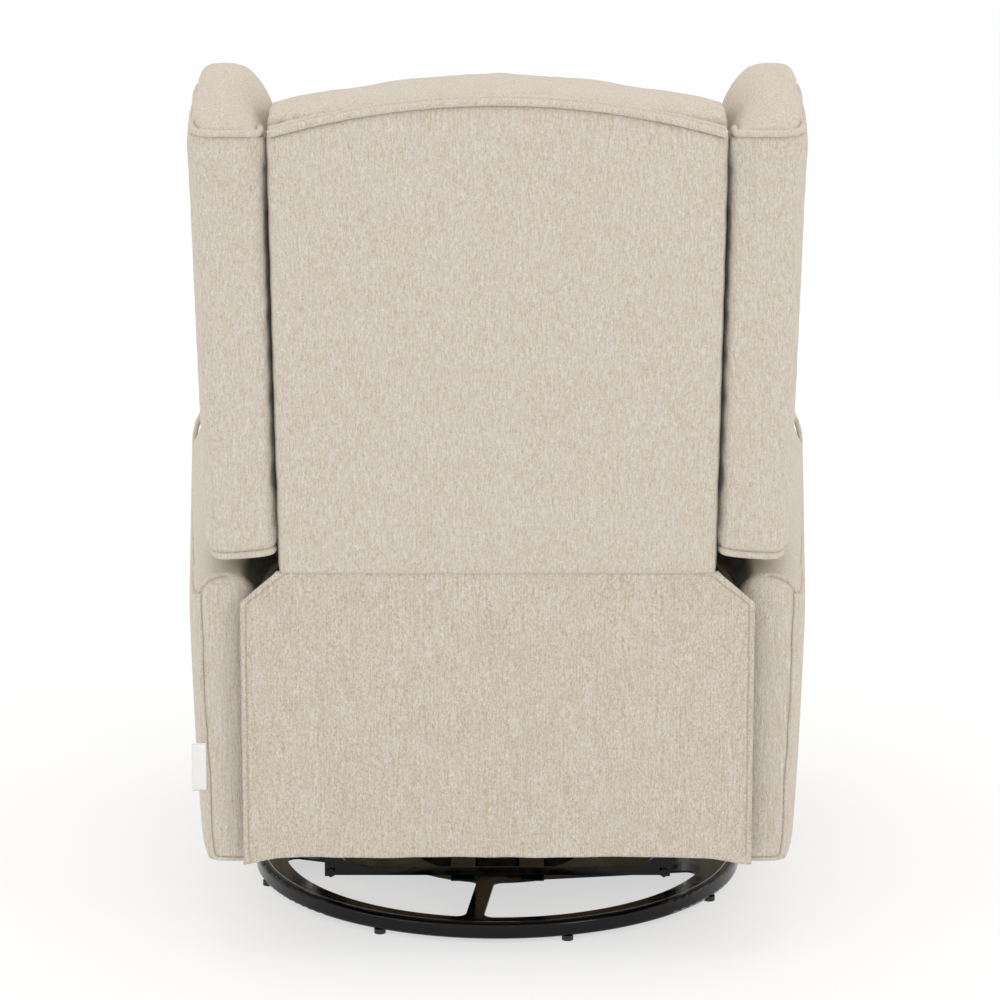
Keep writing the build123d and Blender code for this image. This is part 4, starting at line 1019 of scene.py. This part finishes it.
# The cloth's small pulls: place across, lean, how far down, length, width and height
flap_pulls = (
    (-0.262, -0.05, 0.06, 0.07, 0.0035, 0.0022), (-0.272, -0.03, 0.14, 0.06, 0.0030, 0.0018),
    (-0.283, 0.0, 0.24, 0.09, 0.0030, 0.0014), (0.240, 0.06, 0.05, 0.06, 0.0035, 0.0020),
    (0.212, 0.0, 0.03, 0.02, 0.0025, 0.0022), (0.208, -0.02, 0.18, 0.09, 0.0030, 0.0016),
    (0.165, 0.0, 0.30, 0.05, 0.0040, 0.0016), (-0.205, 0.0, 0.02, 0.015, 0.0025, 0.0020),
    (-0.232, 0.05, 0.02, 0.015, 0.0025, 0.0018),
)


def flap_y_at(x, z):
    """How the cloth hangs: six shallow folds, small pulls under the shoulders, and a crinkle."""
    hang = min(1.0, (flap_top - z) / 0.06)
    fold = 0.0020 * sin(pi * (x + flap_half) / 0.1) * hang
    pull = 0.0
    for place, lean, low, length, width, height in flap_pulls:
        off = (x - place - lean * (flap_top - z) - 0.002 * sin(z * 190)) / width
        pull += height * exp(-off ** 2) * exp(-((flap_top - z - low) / length) ** 2)
    drift = noise.noise(Vector((x * 38, z * 7, 3.0)))
    fine = noise.noise(Vector((x * 120, z * 26, 8.0)))
    tucked = 0.003 * max(0.0, (z - flap_top + 0.006) / 0.006) ** 2
    return flap_y + fold + pull + 0.0008 * drift * hang + 0.0003 * fine - tucked


def flap_mesh():
    bm = bmesh.new()
    columns, rows = 220, 130
    grid = []
    for r in range(rows + 1):
        level = flap_bottom + (flap_top - flap_bottom) * r / rows
        narrow = max(0.0, (level - flap_shoulder) / (flap_top - flap_shoulder))
        half = flap_half + (flap_top_half - flap_half) * narrow
        line = []
        for c in range(columns + 1):
            x = half * (2 * c / columns - 1)
            low = 1 - r / rows
            sag = 0.009 * np.exp(-((flap_half - abs(x)) / 0.035) ** 2) * low ** 6
            wave = 0.0015 * noise.noise(Vector((x * 20, 0.0, 1.0))) * low ** 6
            z = level - sag + wave
            line.append(bm.verts.new((x, flap_y_at(x, level), z)))
        grid.append(line)
    for r in range(rows):
        for c in range(columns):
            bm.faces.new((grid[r][c], grid[r + 1][c], grid[r + 1][c + 1], grid[r][c + 1]))
    return new_piece("rear_flap_cloth", bm)


flap = flap_mesh()
smooth_shade(flap)
flap_weave = slub_weave("beige_slub_weave_single_layer", light="#DBD5CC", dark="#B8A386", crease=3.2,
                        streak_share=0.55, contrast=1.6)


def flap_line(x, z):
    return (x, flap_y_at(x, z) + flap_cloth * 0.55, z)


def stitch_run(a, b):
    steps = max(2, int(hypot(b[0] - a[0], b[1] - a[1]) / 0.002))
    shares = [k / steps for k in range(steps)]
    return [flap_line(a[0] + (b[0] - a[0]) * t, a[1] + (b[1] - a[1]) * t) for t in shares]


shoulder_in = (flap_half - flap_hem, flap_shoulder - 0.0025)
top_in = (flap_top_half - flap_hem - 0.003, flap_top - 0.003)
bottom_in = (flap_half - flap_hem, flap_bottom + 0.004)
flap_stitches = {
    side: stitch_run((sign * bottom_in[0], bottom_in[1]), (sign * shoulder_in[0], shoulder_in[1]))
    + stitch_run((sign * shoulder_in[0], shoulder_in[1]), (sign * top_in[0], top_in[1]))
    for side, sign in (("left", 1), ("right", -1))
}
sew(flap, list(flap_stitches.values()), width=0.0016, depth=0.0007)
flap_thick = flap.modifiers.new("cloth_thickness", "SOLIDIFY")
flap_thick.thickness = flap_cloth
flap_thick.offset = 0.0
settle(flap)
flap.data.materials.append(flap_weave)


def sewing_thread(name, tint="#C9BEA8"):
    """Bonded polyester thread, a shade darker than the cloth, with a slight twist and sheen."""
    material, tree = new_material(name)
    place = add(tree, "ShaderNodeTexCoord")
    twist = noise_at(tree, place.outputs["Object"], 1500.0, 1.0)
    tone = mixed(tree, twist, tint, "#A9997D")
    close_material(tree, add(tree, "ShaderNodeBsdfPrincipled",
                             {"Base Color": tone, "Roughness": 0.55}))
    return material


thread = sewing_thread("beige_sewing_thread")

# The stitch tree: one short thread loop at each stitch length along a path
stitch_tree, entry = tree_with("stitches_along_path",
                               {"Stitch Length": stitch_length, "Thread Radius": thread_radius})
marks = add(stitch_tree, "GeometryNodeCurveToPoints",
            {"Curve": entry.outputs["Path"], "Length": entry.outputs["Stitch Length"]}, mode="LENGTH")
seen = maths(stitch_tree, "MULTIPLY", entry.outputs["Stitch Length"], 0.36)
back_end = maths(stitch_tree, "MULTIPLY", seen, -1.0)
start = add(stitch_tree, "ShaderNodeCombineXYZ", {"Z": back_end})
end = add(stitch_tree, "ShaderNodeCombineXYZ", {"Z": seen})
loop = add(stitch_tree, "GeometryNodeCurvePrimitiveLine", {"Start": start.outputs[0], "End": end.outputs[0]})
gauge = add(stitch_tree, "GeometryNodeCurvePrimitiveCircle",
            {"Resolution": 6, "Radius": entry.outputs["Thread Radius"]})
one = add(stitch_tree, "GeometryNodeCurveToMesh",
          {"Curve": loop.outputs[0], "Profile Curve": gauge.outputs[0], "Fill Caps": True})
each = add(stitch_tree, "GeometryNodeInstanceOnPoints",
           {"Points": marks.outputs["Points"], "Instance": one.outputs[0],
            "Rotation": marks.outputs["Rotation"]})
end_tree(stitch_tree, entry, each.outputs[0])

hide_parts("rear_flap")
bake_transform(flap)
for side, path in flap_stitches.items():
    row = run_tree(stitch_tree, path_curve(f"flap_stitches_{side}", path, False),
                   **{"Stitch Length": stitch_length, "Thread Radius": thread_radius, "Finish": thread})
    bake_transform(row)


# Footrest.
# A plywood board with a foam pad, carried by two pairs of flat steel links on each side.
# When the chair is upright the pad closes the front below the seat.

footrest_piping_radius = 0.0036

footrest = cover_of("footrest_cover", "footrest_pad")
upholster(footrest, 0.006, grid=0.006, soften=2, facing=(0.0, -1.0, 0.0))
footrest.data.materials.append(weave)
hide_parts("footrest_pad")
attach(footrest, "footrest")
foot_low, foot_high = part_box("footrest_pad")
foot_loop = [(x, foot_high.y - 0.008, z) for x, z, _ in rounded_loop(
    foot_low.x, foot_high.x, foot_low.z, foot_high.z, 0.02, 0.0)]
piping("footrest_piping", laid_on(footrest, foot_loop)[:-1], footrest_piping_radius, "footrest", closed=True)
finish_nodes(birch_plywood("birch_plywood_across", "X"), "footrest_board")
finish_nodes(black_coat, "drive_links", "front_links", "control_links", "tie_links", "footrest_brackets",
             "drive_shaft")
finish_nodes(zinc, "drive_rivets", "front_rivets", "footrest_rivets")


# Release lever.
# A flat steel lever with a rounded grip, in the gap beside the sitter's right hip.
# It turns on a small bracket that is screwed to the seat rail.

finish_nodes(black_coat, "lever_bracket")
finish_nodes(black_nylon, "release_lever")
